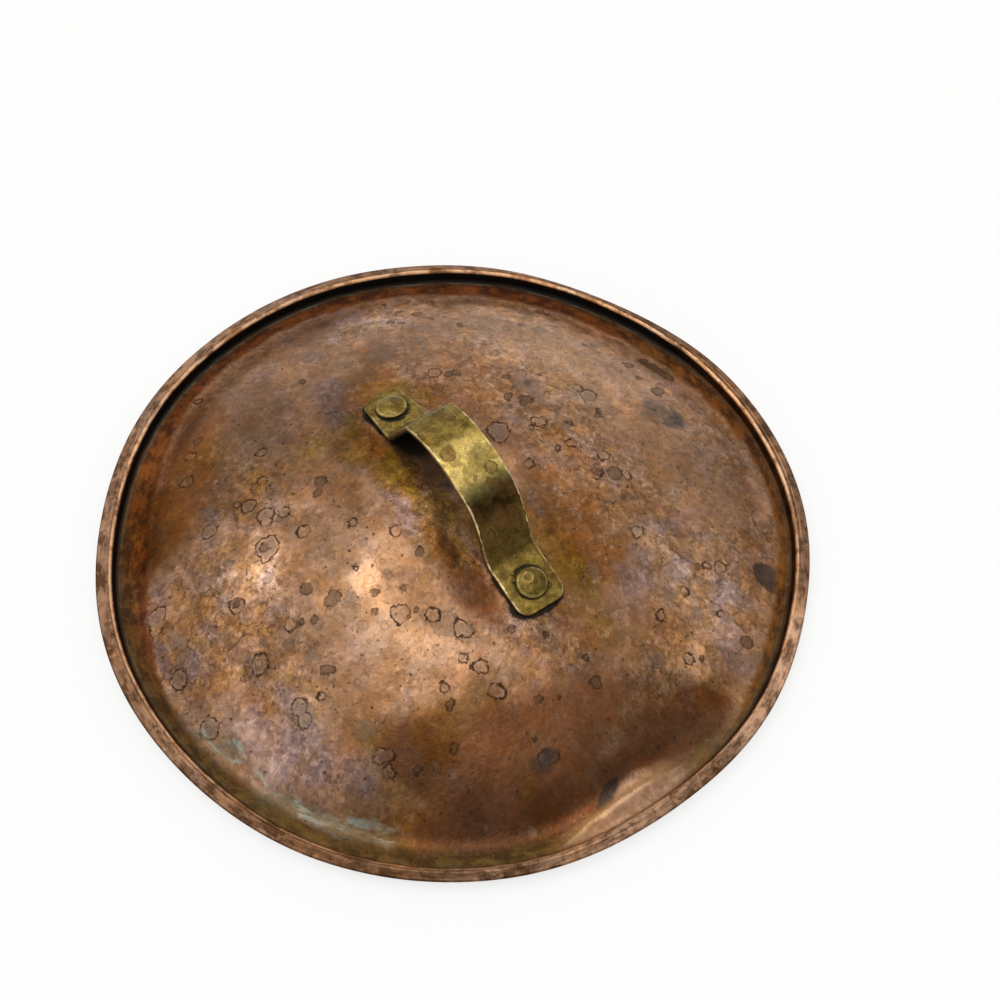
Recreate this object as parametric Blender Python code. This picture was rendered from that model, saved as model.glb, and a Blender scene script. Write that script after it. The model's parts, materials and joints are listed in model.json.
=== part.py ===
"""Domed copper pan lid with a brass strap handle held by two rivets.

Metres, +Z up. The lid stands on the underside of its ring channel at z = 0, its
dome is centred on the Z axis, and the strap runs along X.
"""

import math

import bmesh
import bpy
from mathutils import Matrix, Vector

# Lid sheet
LID_DIAMETER = 0.2406
SHEET_THICKNESS = 0.0012
DOME_RISE = 0.0346
DOME_FILLET_RADIUS = 0.012
CHANNEL_WIDTH = 0.0060
FOOT_FILLET_RADIUS = 0.0010
WALL_HEIGHT = 0.0051
WALL_DRAFT = math.radians(8.0)
RIDGE_RADIUS = 0.0018
RIM_WIDTH = 0.0054
FLANGE_SLOPE = math.radians(18.5)

# Strap handle
STRAP_THICKNESS = 0.0020
STRAP_WIDTH = 0.0176
STRAP_EDGE_CHAMFER = 0.0003
RIVET_SPAN = 0.079
HANDLE_SHIFT_X = 0.0021
HANDLE_SHIFT_Y = 0.0008
FAR_PAD_WIDTH = 0.0144
FAR_PAD_ROOT_WIDTH = 0.0163
FAR_PAD_REACH = 0.0079
NEAR_PAD_REACH = 0.0086
FAR_PAD_ROOT = 0.0098
NEAR_PAD_ROOT = 0.0109
FAR_PAD_CORNER_RADIUS = 0.0030
NEAR_PAD_CORNER_RADIUS = 0.0042
FAR_RISER_HEIGHT = 0.0205
NEAR_RISER_HEIGHT = 0.0189
FAR_RISER_ANGLE = math.radians(58.5)
NEAR_RISER_ANGLE = math.radians(62.0)
CROWN_FAR_SLOPE = math.radians(24.0)
CROWN_NEAR_SLOPE = math.radians(20.5)
FAR_FOOT_BEND_RADIUS = 0.0040
FAR_SHOULDER_RADIUS = 0.0034
CROWN_RADIUS = 0.0335
NEAR_SHOULDER_RADIUS = 0.015
NEAR_FOOT_BEND_RADIUS = 0.0050

# Rivets
SHANK_DIAMETER = 0.0050
HEAD_DIAMETER = 0.0106
HEAD_EDGE_HEIGHT = 0.0006
NEAR_HEAD_HEIGHT = 0.0023
FAR_HEAD_HEIGHT = 0.0017
TAIL_DIAMETER = 0.0088
TAIL_HEIGHT = 0.0016
TAIL_EDGE_HEIGHT = 0.0005

# Clearances
SEAT_GAP = 0.0003
SHANK_CLEARANCE = 0.0003
CUT_OVERRUN = 0.004
MERGE_DISTANCE = 0.00001

# Facets
LID_STEPS = 96
DOME_SEGMENTS = 9
DOME_FILLET_SEGMENTS = 3
FOOT_SEGMENTS = 2
RIDGE_SEGMENTS = 5
RIVET_STEPS = 32
RIVET_CROWN_SEGMENTS = 5
CUTTER_STEPS = 32
BEND_SEGMENTS = 4
CROWN_SEGMENTS = 9
PAD_SEGMENTS = 6
PAD_CORNER_SEGMENTS = 5
STRAP_ACROSS = 4
SMOOTH_ANGLE = math.radians(35.0)

# Colours
COPPER_COLOR = (0.42, 0.21, 0.13)
STRAP_COLOR = (0.48, 0.36, 0.12)
RIVET_COLOR = (0.43, 0.32, 0.12)
COPPER_ROUGHNESS = 0.38
STRAP_ROUGHNESS = 0.35
RIVET_ROUGHNESS = 0.40

# How much of a straight run the bends at its ends may take, as a share of it
RUN_SHARE = 0.96
# Height over a pad's seat, as shares of the strap's thickness, up to which the strap
# is dished fully to the dome and from which it is not dished at all
DISHED_SHARE = 2.0
UNDISHED_SHARE = 4.0

# Heights and radii that follow from the sizes above
FLOOR_TOP = SHEET_THICKNESS
LID_RADIUS = LID_DIAMETER / 2
RIDGE_CORNER = Vector((LID_RADIUS - RIM_WIDTH, FLOOR_TOP + WALL_HEIGHT))
FOOT_CORNER = Vector((RIDGE_CORNER.x - WALL_HEIGHT * math.tan(WALL_DRAFT), FLOOR_TOP))
RIM_EDGE = Vector((LID_RADIUS, RIDGE_CORNER.y - RIM_WIDTH * math.tan(FLANGE_SLOPE)))
CHANNEL_END = FOOT_CORNER.x - CHANNEL_WIDTH
DOME_RADIUS = (CHANNEL_END ** 2 + DOME_RISE ** 2) / (2 * DOME_RISE) - DOME_FILLET_RADIUS
DOME_CENTRE_Z = FLOOR_TOP + DOME_RISE - DOME_RADIUS
FAR_RIVET_X = HANDLE_SHIFT_X - RIVET_SPAN / 2
NEAR_RIVET_X = HANDLE_SHIFT_X + RIVET_SPAN / 2


def clear_scene():
    for obj in list(bpy.data.objects):
        bpy.data.objects.remove(obj, do_unlink=True)


def metal(name, color, roughness):
    material = bpy.data.materials.new(name)
    material.use_nodes = True
    shader = material.node_tree.nodes["Principled BSDF"]
    shader.inputs["Base Color"].default_value = (*color, 1.0)
    shader.inputs["Roughness"].default_value = roughness
    shader.inputs["Metallic"].default_value = 1.0
    return material


def new_object(name, mesh, material=None):
    obj = bpy.data.objects.new(name, mesh)
    bpy.context.scene.collection.objects.link(obj)
    if material is not None:
        mesh.materials.append(material)
    return obj


def direction(angle):
    """Unit vector in a profile's plane, at an angle above the horizontal."""
    return Vector((math.cos(angle), math.sin(angle)))


def arc(centre, radius, start, end, segments, convex):
    """Points on an arc, each with the surface normal there."""
    path = []
    for i in range(segments + 1):
        out = direction(start + (end - start) * i / segments)
        path.append((centre + radius * out, out if convex else -out))
    return path


def corner_centre(corner, along_a, along_b, radius):
    """Centre of the arc that rounds a corner between two straight runs."""
    half_angle = along_a.angle(along_b) / 2
    return corner + (along_a + along_b).normalized() * (radius / math.sin(half_angle))


def lid_top_path():
    """Top surface of the sheet, from the middle of the dome out to the rim's edge."""
    dome_centre = Vector((0.0, DOME_CENTRE_Z))
    fillet_centre = Vector((CHANNEL_END, FLOOR_TOP + DOME_FILLET_RADIUS))
    edge_slope = math.atan2(CHANNEL_END, fillet_centre.y - DOME_CENTRE_Z)
    up, down = math.radians(90), math.radians(270)

    wall = direction(up - WALL_DRAFT)
    flange = direction(-FLANGE_SLOPE)
    inward = Vector((-1.0, 0.0))
    foot = corner_centre(FOOT_CORNER, inward, wall, FOOT_FILLET_RADIUS)
    ridge = corner_centre(RIDGE_CORNER, -wall, flange, RIDGE_RADIUS)

    path = arc(dome_centre, DOME_RADIUS, up, up - edge_slope, DOME_SEGMENTS, True)
    path += arc(fillet_centre, DOME_FILLET_RADIUS, down - edge_slope, down, DOME_FILLET_SEGMENTS, False)[1:]
    path += arc(foot, FOOT_FILLET_RADIUS, down, math.radians(360) - WALL_DRAFT, FOOT_SEGMENTS, False)
    path += arc(ridge, RIDGE_RADIUS, math.radians(180) - WALL_DRAFT, up - FLANGE_SLOPE, RIDGE_SEGMENTS, True)
    path.append((RIM_EDGE, direction(up - FLANGE_SLOPE)))
    return path


def revolve(name, profile, steps, material):
    """Turn a profile of (radius, height) points round Z with a Screw modifier."""
    mesh = bpy.data.meshes.new(name)
    edges = [(i, i + 1) for i in range(len(profile) - 1)]
    mesh.from_pydata([(x, 0.0, z) for x, z in profile], edges, [])
    obj = new_object(name, mesh, material)
    screw = obj.modifiers.new("turn", 'SCREW')
    screw.axis = 'Z'
    screw.steps = steps
    screw.render_steps = steps
    screw.use_merge_vertices = True
    screw.merge_threshold = MERGE_DISTANCE
    screw.use_smooth_shade = True
    return obj


def dome_frame(x):
    """Frame on the dome's top surface above the point (x, shift), with Z along the normal."""
    height = math.sqrt(DOME_RADIUS ** 2 - x ** 2 - HANDLE_SHIFT_Y ** 2)
    normal = Vector((x, HANDLE_SHIFT_Y, height)).normalized()
    point = Vector((x, HANDLE_SHIFT_Y, DOME_CENTRE_Z + height))
    turn = Vector((0.0, 0.0, 1.0)).rotation_difference(normal).to_matrix().to_4x4()
    return Matrix.Translation(point) @ turn


def cut_rivet_holes(obj):
    """Drill both rivet holes square to the dome through a sheet or strap."""
    for place, x in (("far", FAR_RIVET_X), ("near", NEAR_RIVET_X)):
        mesh = bpy.data.meshes.new(f"{obj.name}_hole_{place}")
        bm = bmesh.new()
        radius = SHANK_DIAMETER / 2 + SHANK_CLEARANCE
        depth = 2 * (STRAP_THICKNESS + SHEET_THICKNESS + CUT_OVERRUN)
        bmesh.ops.create_cone(bm, cap_ends=True, segments=CUTTER_STEPS,
                              radius1=radius, radius2=radius, depth=depth)
        bm.to_mesh(mesh)
        bm.free()
        cutter = new_object(mesh.name, mesh)
        cutter.matrix_world = dome_frame(x)
        cutter.hide_render = True
        cutter.display_type = 'WIRE'
        hole = obj.modifiers.new(f"hole_{place}", 'BOOLEAN')
        hole.operation = 'DIFFERENCE'
        hole.object = cutter


def lid_sheet(material):
    """One sheet of constant thickness: dome, channel, wall, ridge and flange."""
    path = lid_top_path()
    top = [point for point, normal in path]
    underside = [point - SHEET_THICKNESS * normal for point, normal in reversed(path)]
    obj = revolve("lid_sheet", top + underside, LID_STEPS, material)
    cut_rivet_holes(obj)
    return obj


def line_meet(point_a, along_a, point_b, along_b):
    """Where two straight lines of a side profile cross."""
    across = along_a.x * along_b.y - along_a.y * along_b.x
    gap = point_b - point_a
    return point_a + along_a * ((gap.x * along_b.y - gap.y * along_b.x) / across)


def pad_line(x):
    """Top of a foot pad in side view: its point over the rivet and its slope outwards."""
    lean = math.asin(x / DOME_RADIUS)
    out = Vector((math.sin(lean), math.cos(lean)))
    point = Vector((0.0, DOME_CENTRE_Z)) + out * (DOME_RADIUS + SEAT_GAP + STRAP_THICKNESS)
    along = Vector((out.y, -out.x))
    return point, along


def strap_corners():
    """Corners of the strap's top in side view, far end to near end, with their bend radii."""
    far_rivet, far_along = pad_line(FAR_RIVET_X)
    near_rivet, near_along = pad_line(NEAR_RIVET_X)
    far_foot = far_rivet + far_along * FAR_PAD_ROOT
    near_foot = near_rivet - near_along * NEAR_PAD_ROOT
    far_riser = direction(FAR_RISER_ANGLE)
    near_riser = direction(math.pi - NEAR_RISER_ANGLE)
    far_shoulder = far_foot + far_riser * (FAR_RISER_HEIGHT / far_riser.y)
    near_shoulder = near_foot + near_riser * (NEAR_RISER_HEIGHT / near_riser.y)
    crown = line_meet(far_shoulder, direction(CROWN_FAR_SLOPE),
                      near_shoulder, direction(math.pi - CROWN_NEAR_SLOPE))
    return [
        (far_rivet - far_along * FAR_PAD_REACH, 0.0, 0),
        (far_foot, FAR_FOOT_BEND_RADIUS, BEND_SEGMENTS),
        (far_shoulder, FAR_SHOULDER_RADIUS, BEND_SEGMENTS),
        (crown, CROWN_RADIUS, CROWN_SEGMENTS),
        (near_shoulder, NEAR_SHOULDER_RADIUS, BEND_SEGMENTS),
        (near_foot, NEAR_FOOT_BEND_RADIUS, BEND_SEGMENTS),
        (near_rivet + near_along * NEAR_PAD_REACH, 0.0, 0),
    ]


def bend_turn(corners, i):
    """Angle that the strap turns through at one of its corners."""
    back = corners[i - 1][0] - corners[i][0]
    ahead = corners[i + 1][0] - corners[i][0]
    return math.pi - back.angle(ahead)


def fitted_radii(corners):
    """Bend radii, drawn in alike where two bends would meet on the run between them."""
    inner = range(1, len(corners) - 1)
    tangents = [0.0] * len(corners)
    factors = [1.0] * len(corners)
    for i in inner:
        tangents[i] = corners[i][1] * math.tan(bend_turn(corners, i) / 2)
    for i in range(len(corners) - 1):
        room = RUN_SHARE * (corners[i + 1][0] - corners[i][0]).length
        needed = tangents[i] + tangents[i + 1]
        if needed > room:
            factors[i] = min(factors[i], room / needed)
            factors[i + 1] = min(factors[i + 1], room / needed)
    return [corners[i][1] * factors[i] for i in range(len(corners))]


def bent_path(corners):
    """Round each corner of a bent strap. Each point comes with the upper normal there."""
    path = []
    radii = fitted_radii(corners)
    for i in range(1, len(corners) - 1):
        corner, radius, segments = corners[i][0], radii[i], corners[i][2]
        back = corners[i - 1][0] - corner
        ahead = corners[i + 1][0] - corner
        turn = bend_turn(corners, i)
        centre = corner_centre(corner, back.normalized(), ahead.normalized(), radius)
        start = math.atan2(-back.x, back.y)
        if ahead.x * back.y - ahead.y * back.x > 0:
            path += arc(centre, radius, start + math.pi, start + math.pi + turn, segments, False)
        else:
            path += arc(centre, radius, start, start - turn, segments, True)
    return path


def strap_path():
    """Side view of the strap's top, with the pads divided evenly along their length."""
    corners = strap_corners()
    bends = bent_path(corners)
    far_end, near_end = corners[0][0], corners[-1][0]
    path = []
    for length_share in pad_shares(FAR_PAD_CORNER_RADIUS, (bends[0][0] - far_end).length):
        path.append((far_end.lerp(bends[0][0], length_share), bends[0][1]))
    path += bends
    tail = []
    for length_share in pad_shares(NEAR_PAD_CORNER_RADIUS, (bends[-1][0] - near_end).length):
        tail.append((near_end.lerp(bends[-1][0], length_share), bends[-1][1]))
    return path + tail[::-1]


def pad_shares(corner_radius, pad_length):
    """Places along a pad from its end: close together round the corner, then even."""
    corner_share = corner_radius / pad_length
    shares = []
    for i in range(PAD_CORNER_SEGMENTS):
        shares.append(corner_share * (1 - math.cos(math.radians(90) * i / PAD_CORNER_SEGMENTS)))
    for i in range(PAD_SEGMENTS):
        shares.append(corner_share + (1 - corner_share) * i / PAD_SEGMENTS)
    return shares


def blend(low, high, value):
    """Smooth step from 0 at low to 1 at high."""
    share = min(max((value - low) / (high - low), 0.0), 1.0)
    return share * share * (3 - 2 * share)


def strap_half_width(x, far_end, far_foot, far_shoulder, near_end):
    """Half the strap's width in plan: tapered far pad, even bridge, round corners."""
    taper = min(max((x - far_end) / (far_foot - far_end), 0.0), 1.0)
    pad_width = FAR_PAD_WIDTH + (FAR_PAD_ROOT_WIDTH - FAR_PAD_WIDTH) * taper
    width = pad_width + (STRAP_WIDTH - pad_width) * blend(far_foot, far_shoulder, x)
    inset = 0.0
    for radius, end_distance in ((FAR_PAD_CORNER_RADIUS, x - far_end),
                                 (NEAR_PAD_CORNER_RADIUS, near_end - x)):
        rest = max(radius - end_distance, 0.0)
        inset += radius - math.sqrt(max(radius ** 2 - rest ** 2, 0.0))
    return width / 2 - inset


def press_to_dome(point):
    """Dish a pad to the dome's curve round its rivet. The bridge above keeps its shape."""
    rivet_x = FAR_RIVET_X if point.x < HANDLE_SHIFT_X else NEAR_RIVET_X
    seat = dome_frame(rivet_x)
    local = seat.inverted() @ point
    away = math.hypot(local.x, local.y)
    drop = DOME_RADIUS - math.sqrt(DOME_RADIUS ** 2 - away ** 2)
    lifted = blend(DISHED_SHARE * STRAP_THICKNESS, UNDISHED_SHARE * STRAP_THICKNESS, local.z)
    local.z -= drop * (1 - lifted)
    return seat @ local


def strap_section(point, normal, half_width):
    """Cross-section of the strap: a flat bar with lightly worn edges."""
    chamfer = STRAP_EDGE_CHAMFER
    flat = half_width - chamfer
    across = [flat * (2 * i / STRAP_ACROSS - 1) for i in range(STRAP_ACROSS + 1)]
    outline = [(y, 0.0) for y in across]
    outline += [(half_width, chamfer), (half_width, STRAP_THICKNESS - chamfer)]
    outline += [(y, STRAP_THICKNESS) for y in reversed(across)]
    outline += [(-half_width, STRAP_THICKNESS - chamfer), (-half_width, chamfer)]
    ring = []
    for y, depth in outline:
        spot = point - normal * depth
        ring.append(press_to_dome(Vector((spot.x, y + HANDLE_SHIFT_Y, spot.y))))
    return ring


def strap_handle(material):
    """Strap lofted through its cross-sections from the far pad to the near pad."""
    corners = strap_corners()
    far_end, far_foot, far_shoulder = (corners[i][0].x for i in range(3))
    near_end = corners[-1][0].x
    bm = bmesh.new()
    rings = []
    for point, normal in strap_path():
        half_width = strap_half_width(point.x, far_end, far_foot, far_shoulder, near_end)
        section = strap_section(point, normal, half_width)
        rings.append([bm.verts.new(spot) for spot in section])
    count = len(rings[0])
    for ring, following in zip(rings, rings[1:]):
        for i in range(count):
            j = (i + 1) % count
            bm.faces.new((ring[i], ring[j], following[j], following[i]))
    bm.faces.new(rings[0][::-1])
    bm.faces.new(rings[-1])
    bmesh.ops.recalc_face_normals(bm, faces=bm.faces)
    mesh = bpy.data.meshes.new("strap_handle")
    bm.to_mesh(mesh)
    bm.free()
    mesh.shade_smooth()
    mesh.set_sharp_from_angle(angle=SMOOTH_ANGLE)
    obj = new_object("strap_handle", mesh, material)
    cut_rivet_holes(obj)
    return obj


def cap_arc(radius, edge_height, height, segments):
    """Half of a low crown in side view, from its middle down to its edge."""
    rise = height - edge_height
    sphere = (radius ** 2 + rise ** 2) / (2 * rise)
    half_angle = math.asin(radius / sphere)
    points = []
    for i in range(segments + 1):
        angle = half_angle * i / segments
        points.append((sphere * math.sin(angle), height - sphere * (1 - math.cos(angle))))
    return points


def rivet(name, x, head_height, material):
    """Rivet with a domed head over the strap, a shank, and a hammered tail in the lid."""
    head = cap_arc(HEAD_DIAMETER / 2, HEAD_EDGE_HEIGHT, head_height, RIVET_CROWN_SEGMENTS)
    tail = cap_arc(TAIL_DIAMETER / 2, TAIL_EDGE_HEIGHT, TAIL_HEIGHT, RIVET_CROWN_SEGMENTS)
    head_seat = SEAT_GAP + STRAP_THICKNESS + SEAT_GAP
    tail_seat = -(SHEET_THICKNESS + SEAT_GAP)
    shank_radius = SHANK_DIAMETER / 2
    profile = [(r, head_seat + h) for r, h in head]
    profile += [(HEAD_DIAMETER / 2, head_seat), (shank_radius, head_seat)]
    profile += [(shank_radius, tail_seat), (TAIL_DIAMETER / 2, tail_seat)]
    profile += [(r, tail_seat - h) for r, h in reversed(tail)]
    obj = revolve(name, profile, RIVET_STEPS, material)
    obj.matrix_world = dome_frame(x)
    return obj


def build():
    clear_scene()
    copper = metal("aged_copper", COPPER_COLOR, COPPER_ROUGHNESS)
    strap_brass = metal("strap_brass", STRAP_COLOR, STRAP_ROUGHNESS)
    rivet_brass = metal("rivet_brass", RIVET_COLOR, RIVET_ROUGHNESS)
    lid_sheet(copper)
    strap_handle(strap_brass)
    rivet("rivet_far", FAR_RIVET_X, FAR_HEAD_HEIGHT, rivet_brass)
    rivet("rivet_near", NEAR_RIVET_X, NEAR_HEAD_HEIGHT, rivet_brass)


build()
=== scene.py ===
import json
import math
from functools import partialmethod

import bpy
import numpy as np
from mathutils import Matrix, Vector, noise

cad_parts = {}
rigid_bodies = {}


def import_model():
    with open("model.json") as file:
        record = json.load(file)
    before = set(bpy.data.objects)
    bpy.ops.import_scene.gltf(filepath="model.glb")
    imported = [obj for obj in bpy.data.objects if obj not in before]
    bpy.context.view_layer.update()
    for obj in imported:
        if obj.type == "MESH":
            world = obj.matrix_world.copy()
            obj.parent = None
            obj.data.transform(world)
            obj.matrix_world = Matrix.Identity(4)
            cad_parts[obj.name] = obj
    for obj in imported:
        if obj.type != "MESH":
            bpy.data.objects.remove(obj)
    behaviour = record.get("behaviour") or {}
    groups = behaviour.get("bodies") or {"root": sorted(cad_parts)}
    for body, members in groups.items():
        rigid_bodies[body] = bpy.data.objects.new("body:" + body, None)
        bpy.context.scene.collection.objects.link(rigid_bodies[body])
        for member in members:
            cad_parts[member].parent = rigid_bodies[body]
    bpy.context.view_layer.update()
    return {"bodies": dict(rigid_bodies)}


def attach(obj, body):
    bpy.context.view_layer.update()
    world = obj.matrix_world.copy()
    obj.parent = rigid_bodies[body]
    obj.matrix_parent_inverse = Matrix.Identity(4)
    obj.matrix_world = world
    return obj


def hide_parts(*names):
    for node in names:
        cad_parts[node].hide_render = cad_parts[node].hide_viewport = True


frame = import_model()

MM = 0.001

# Sizes of the CAD solids, in millimetres, with the wall's draft in degrees
LID_RADIUS = 120.3
SHEET = 1.2
DOME_RADIUS = 174.427
DOME_CENTRE_Z = -138.627
DOME_FILLET = 12
CHANNEL_END = 108.183
FOOT_X = 114.183
RIDGE_X = 114.9
RIDGE_Z = 6.3
FLANGE_SLOPE = math.radians(18.5)
WALL_DRAFT = 8
FOOT_RADIUS = 1
RIDGE_RADIUS = 1.8
STRAP_THICKNESS = 2
STRAP_WIDTH = 17.6
FAR_PAD_WIDTH = 14.4
FAR_ROOT_WIDTH = 16.3
FAR_CORNER = 3
NEAR_CORNER = 4.2
HEAD_RADIUS = 5.3
HEAD_EDGE = 0.6
FAR_HEAD = 1.7
NEAR_HEAD = 2.3
SHANK_RADIUS = 2.5
TAIL_RADIUS = 4.4
TAIL_EDGE = 0.5
TAIL_HEIGHT = 1.6
HANDLE_Y = 0.8
FAR_RIVET_X = -37.4
NEAR_RIVET_X = 41.6
SEAT_GAP = 0.3
HEAD_SEAT = SEAT_GAP + STRAP_THICKNESS + SEAT_GAP
TAIL_SEAT = -SHEET - SEAT_GAP

# Rounding of the strap's edges and fullness of the dome's foot, both more than in the solids
STRAP_EDGE = 0.55
FOOT_FILL = 0.9

# Radii of the thin lines that run round the rim, and how deep and wide the groove is
WALL_FOOT = 112.7
CREST = 115.25
SEAM = 116.2
SECOND_LINE = 117.05
GROOVE = 117.75
GROOVE_DEPTH = 0.22
GROOVE_WIDTH = 0.22

# The fold at the right bows along x = FOLD_X + FOLD_BOW * y * y
FOLD_X = 107.7
FOLD_BOW = 0.00155

# The rim is bent out of round: mean offset, then cosine and sine parts of each wave
RIM_OFFSET = -0.36
RIM_WAVES = [(1.02, -0.5), (0.15, 0.25), (-0.98, -0.38), (0.16, -0.28), (-0.02, 0.08),
             (-0.23, 0.2), (0.01, -0.03), (-0.06, -0.04), (-0.19, 0.06), (-0.04, -0.08)]

# Strap corners in side view (x, height of the top face) with bend radii
STRAP_CORNERS = [(-45.609, 32.296, 0), (-28.321, 36.091, 4), (-15.759, 56.591, 3.4),
                 (-1.299, 63.029, 33.5), (21.514, 54.5, 15), (31.563, 35.6, 5),
                 (50.5, 30.949, 0)]


def ease(value, low, high):
    t = min(max((value - low) / (high - low), 0), 1)
    return t * t * (3 - 2 * t)


def rim_shift(angle):
    """How far the rim stands out from its round, in millimetres."""
    total = RIM_OFFSET
    for k, (c, s) in enumerate(RIM_WAVES, 1):
        total += c * math.cos(k * angle) + s * math.sin(k * angle)
    return total


# How much less the ridge is pushed in than the edge: angle in degrees, millimetres
RIDGE_STAYS = [
    (0, 0.6), (15, 0.7), (50, 0.7), (75, 0.4), (88, 0.4), (102, 1.1), (112, 2), (122, 2.4), (132, 2.2),
    (142, 1.7), (152, 1.3), (165, 1), (182, 0.8), (200, 0.65), (220, 0.3), (240, 0.1), (265, 0.2),
    (285, 0.6), (300, 1), (325, 1.2), (340, 1), (352, 0.7), (360, 0.6),
]


def ridge_stay(angle):
    turn = math.degrees(angle) % 360
    for (a0, v0), (a1, v1) in zip(RIDGE_STAYS, RIDGE_STAYS[1:]):
        if turn <= a1:
            return v0 + (v1 - v0) * ease(turn, a0, a1)
    return 0


def arc(cx, cz, radius, start, end, count):
    """Points and normals on an arc of the lid's profile, angles in degrees."""
    out = []
    for i in range(count + 1):
        a = math.radians(start + (end - start) * i / count)
        n = (math.cos(a), math.sin(a))
        out.append((cx + radius * n[0], cz + radius * n[1], n))
    return out


def flip(points):
    return [(x, z, (-n[0], -n[1])) for x, z, n in points]


def lid_profile():
    """Top face from the middle to the rim's edge, as (radius, height, normal)."""
    slope = math.degrees(math.atan2(CHANNEL_END, DOME_FILLET + SHEET - DOME_CENTRE_Z))
    path = arc(0, DOME_CENTRE_Z, DOME_RADIUS, 90, 90 - slope, 84)
    path += flip(arc(CHANNEL_END, SHEET + DOME_FILLET, DOME_FILLET, 270 - slope, 270, 9))[1:]
    path = [(x, z + FOOT_FILL * foot_swell(x), n) for x, z, n in path]
    cx = FOOT_X - FOOT_RADIUS * math.tan(math.radians((90 - WALL_DRAFT) / 2))
    cz = SHEET + FOOT_RADIUS
    path += [(CHANNEL_END + (cx - CHANNEL_END) * f, SHEET, (0, 1)) for f in (0.33, 0.67)]
    path += flip(arc(cx, cz, FOOT_RADIUS, 270, 360 - WALL_DRAFT, 5))
    return path + ridge_points()


def foot_swell(radius):
    """Fuller foot of the dome, so that it turns into the channel more sharply."""
    return ease(radius, 66, 101) * (1 - ease(radius, 101, 108.5))


def ridge_points():
    """Wall, rounded ridge and the flange with its rounded edge."""
    flange_n = (math.sin(FLANGE_SLOPE), math.cos(FLANGE_SLOPE))
    down = (math.cos(FLANGE_SLOPE), -math.sin(FLANGE_SLOPE))
    start, end = 180 - WALL_DRAFT, 90 - math.degrees(FLANGE_SLOPE)
    reach = RIDGE_RADIUS * math.tan(math.radians(start - end) / 2)
    wall_n = (math.cos(math.radians(start)), math.sin(math.radians(start)))
    cx = RIDGE_X - wall_n[1] * reach - wall_n[0] * RIDGE_RADIUS
    cz = RIDGE_Z + wall_n[0] * reach - wall_n[1] * RIDGE_RADIUS
    points = arc(cx, cz, RIDGE_RADIUS, start, end, 9)
    x0, z0 = points[-1][0], points[-1][1]
    length = (LID_RADIUS - x0) / down[0]
    flange = []
    flat = [(s, 0) for s in (0.25, 0.45, 0.65, 0.85, 1.1, 1.6, 2.2, 2.8, 3.4)]
    edge = [(length - 0.45, 0), (length - 0.2, 0.03), (length - 0.04, 0.12), (length, 0.3)]
    for s, dip in flat + edge:
        flange.append((x0 + down[0] * s - flange_n[0] * dip,
                       z0 + down[1] * s - flange_n[1] * dip, flange_n))
    return points + flange


# Dents and swellings of the dome: x, y, half sizes along and across, turn in degrees, height
DENTS = [
    (107.7, -10, 26, 2.4, 90, 1.2), (101.2, -10, 22, 3.2, 90, -1), (60, -45, 26, 20, 30, -0.5),
    (20, -40, 30, 18, 0, 0.35), (-60, 30, 30, 22, 40, 0.3), (-20, -70, 22, 16, 10, 0.3),
    (80, 30, 24, 16, 60, 0.3),
]


def oval(x, y, cx, cy, along, across, turn):
    """Distance from an oval's middle, squared, where its outline is at 1."""
    a = math.radians(turn)
    dx, dy = x - cx, y - cy
    u = (dx * math.cos(a) + dy * math.sin(a)) / along
    v = (-dx * math.sin(a) + dy * math.cos(a)) / across
    return u * u + v * v


def dent(x, y):
    """Height of the dents and swellings at one place."""
    return sum(height * math.exp(-oval(x, y, *place)) for *place, height in DENTS)


def hammered(x, y, radius):
    """Small unevenness of the sheet, none under the pads and the resting ring."""
    value = 0.22 * noise.noise(Vector((x / 26, y / 26, 3)))
    value += 0.1 * noise.noise(Vector((x / 11, y / 11, 7)))
    value *= 1 - ease(radius, 98, 106)
    value += dent(x, y)
    pads = ease(abs(y - HANDLE_Y), 9, 16) if abs(x) < 60 else 1
    return value * pads * (1 - ease(radius, 110, 112.5))


def lid_mesh(steps=540):
    """The sheet's two faces, turned round and bent. Under the dome every third ring is enough."""
    profile = lid_profile()
    under = [(x - SHEET * n[0], z - SHEET * n[1]) for x, z, n in reversed(profile)]
    rim_points = 34
    keep = [p for i, p in enumerate(under[:-1]) if i < rim_points or i % 3 == 0]
    outline = [(x, z) for x, z, n in profile[1:]] + keep
    top_count = len(profile) - 1
    shifts = [rim_shift(2 * math.pi * i / steps) for i in range(steps)]
    stays = [ridge_stay(2 * math.pi * i / steps) for i in range(steps)]
    grooves = round_the_rim(RIM_BANDS["second_line"], np.arange(steps) * 360 / steps)
    verts = [(0, 0, (profile[0][1] + hammered(0, 0, 0)) * MM)]
    for x, z in outline:
        for i in range(steps):
            a = 2 * math.pi * i / steps
            stay = stays[i] * (1 - ease(x, 115.4, 119.8))
            r = x + (shifts[i] + stay) * ease(x, 70, 112)
            px, py = r * math.cos(a), r * math.sin(a)
            wave = 0
            if x > 113.5:
                wave = 0.1 * noise.noise(Vector((math.cos(a) * 6, math.sin(a) * 6, x * 0.2)))
                wave -= GROOVE_DEPTH * grooves[i] * math.exp(-((x - GROOVE) / GROOVE_WIDTH) ** 2)
            high = max(z + hammered(px, py, x) + wave * (x > 117), 0)
            verts.append((px * MM, py * MM, high * MM))
    verts.append((0, 0, (under[-1][1] + hammered(0, 0, 0)) * MM))
    rings = len(outline)
    mesh = new_mesh("lid_body", verts, turned_faces(rings, steps))
    reach = np.repeat([x for x, z in outline], steps)
    inner = np.repeat([float(k >= top_count) for k in range(rings)], steps)
    store(mesh, "reach", np.concatenate([[0], reach, [0]]))
    store(mesh, "inner", np.concatenate([[0], inner, [1]]))
    return mesh


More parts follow.
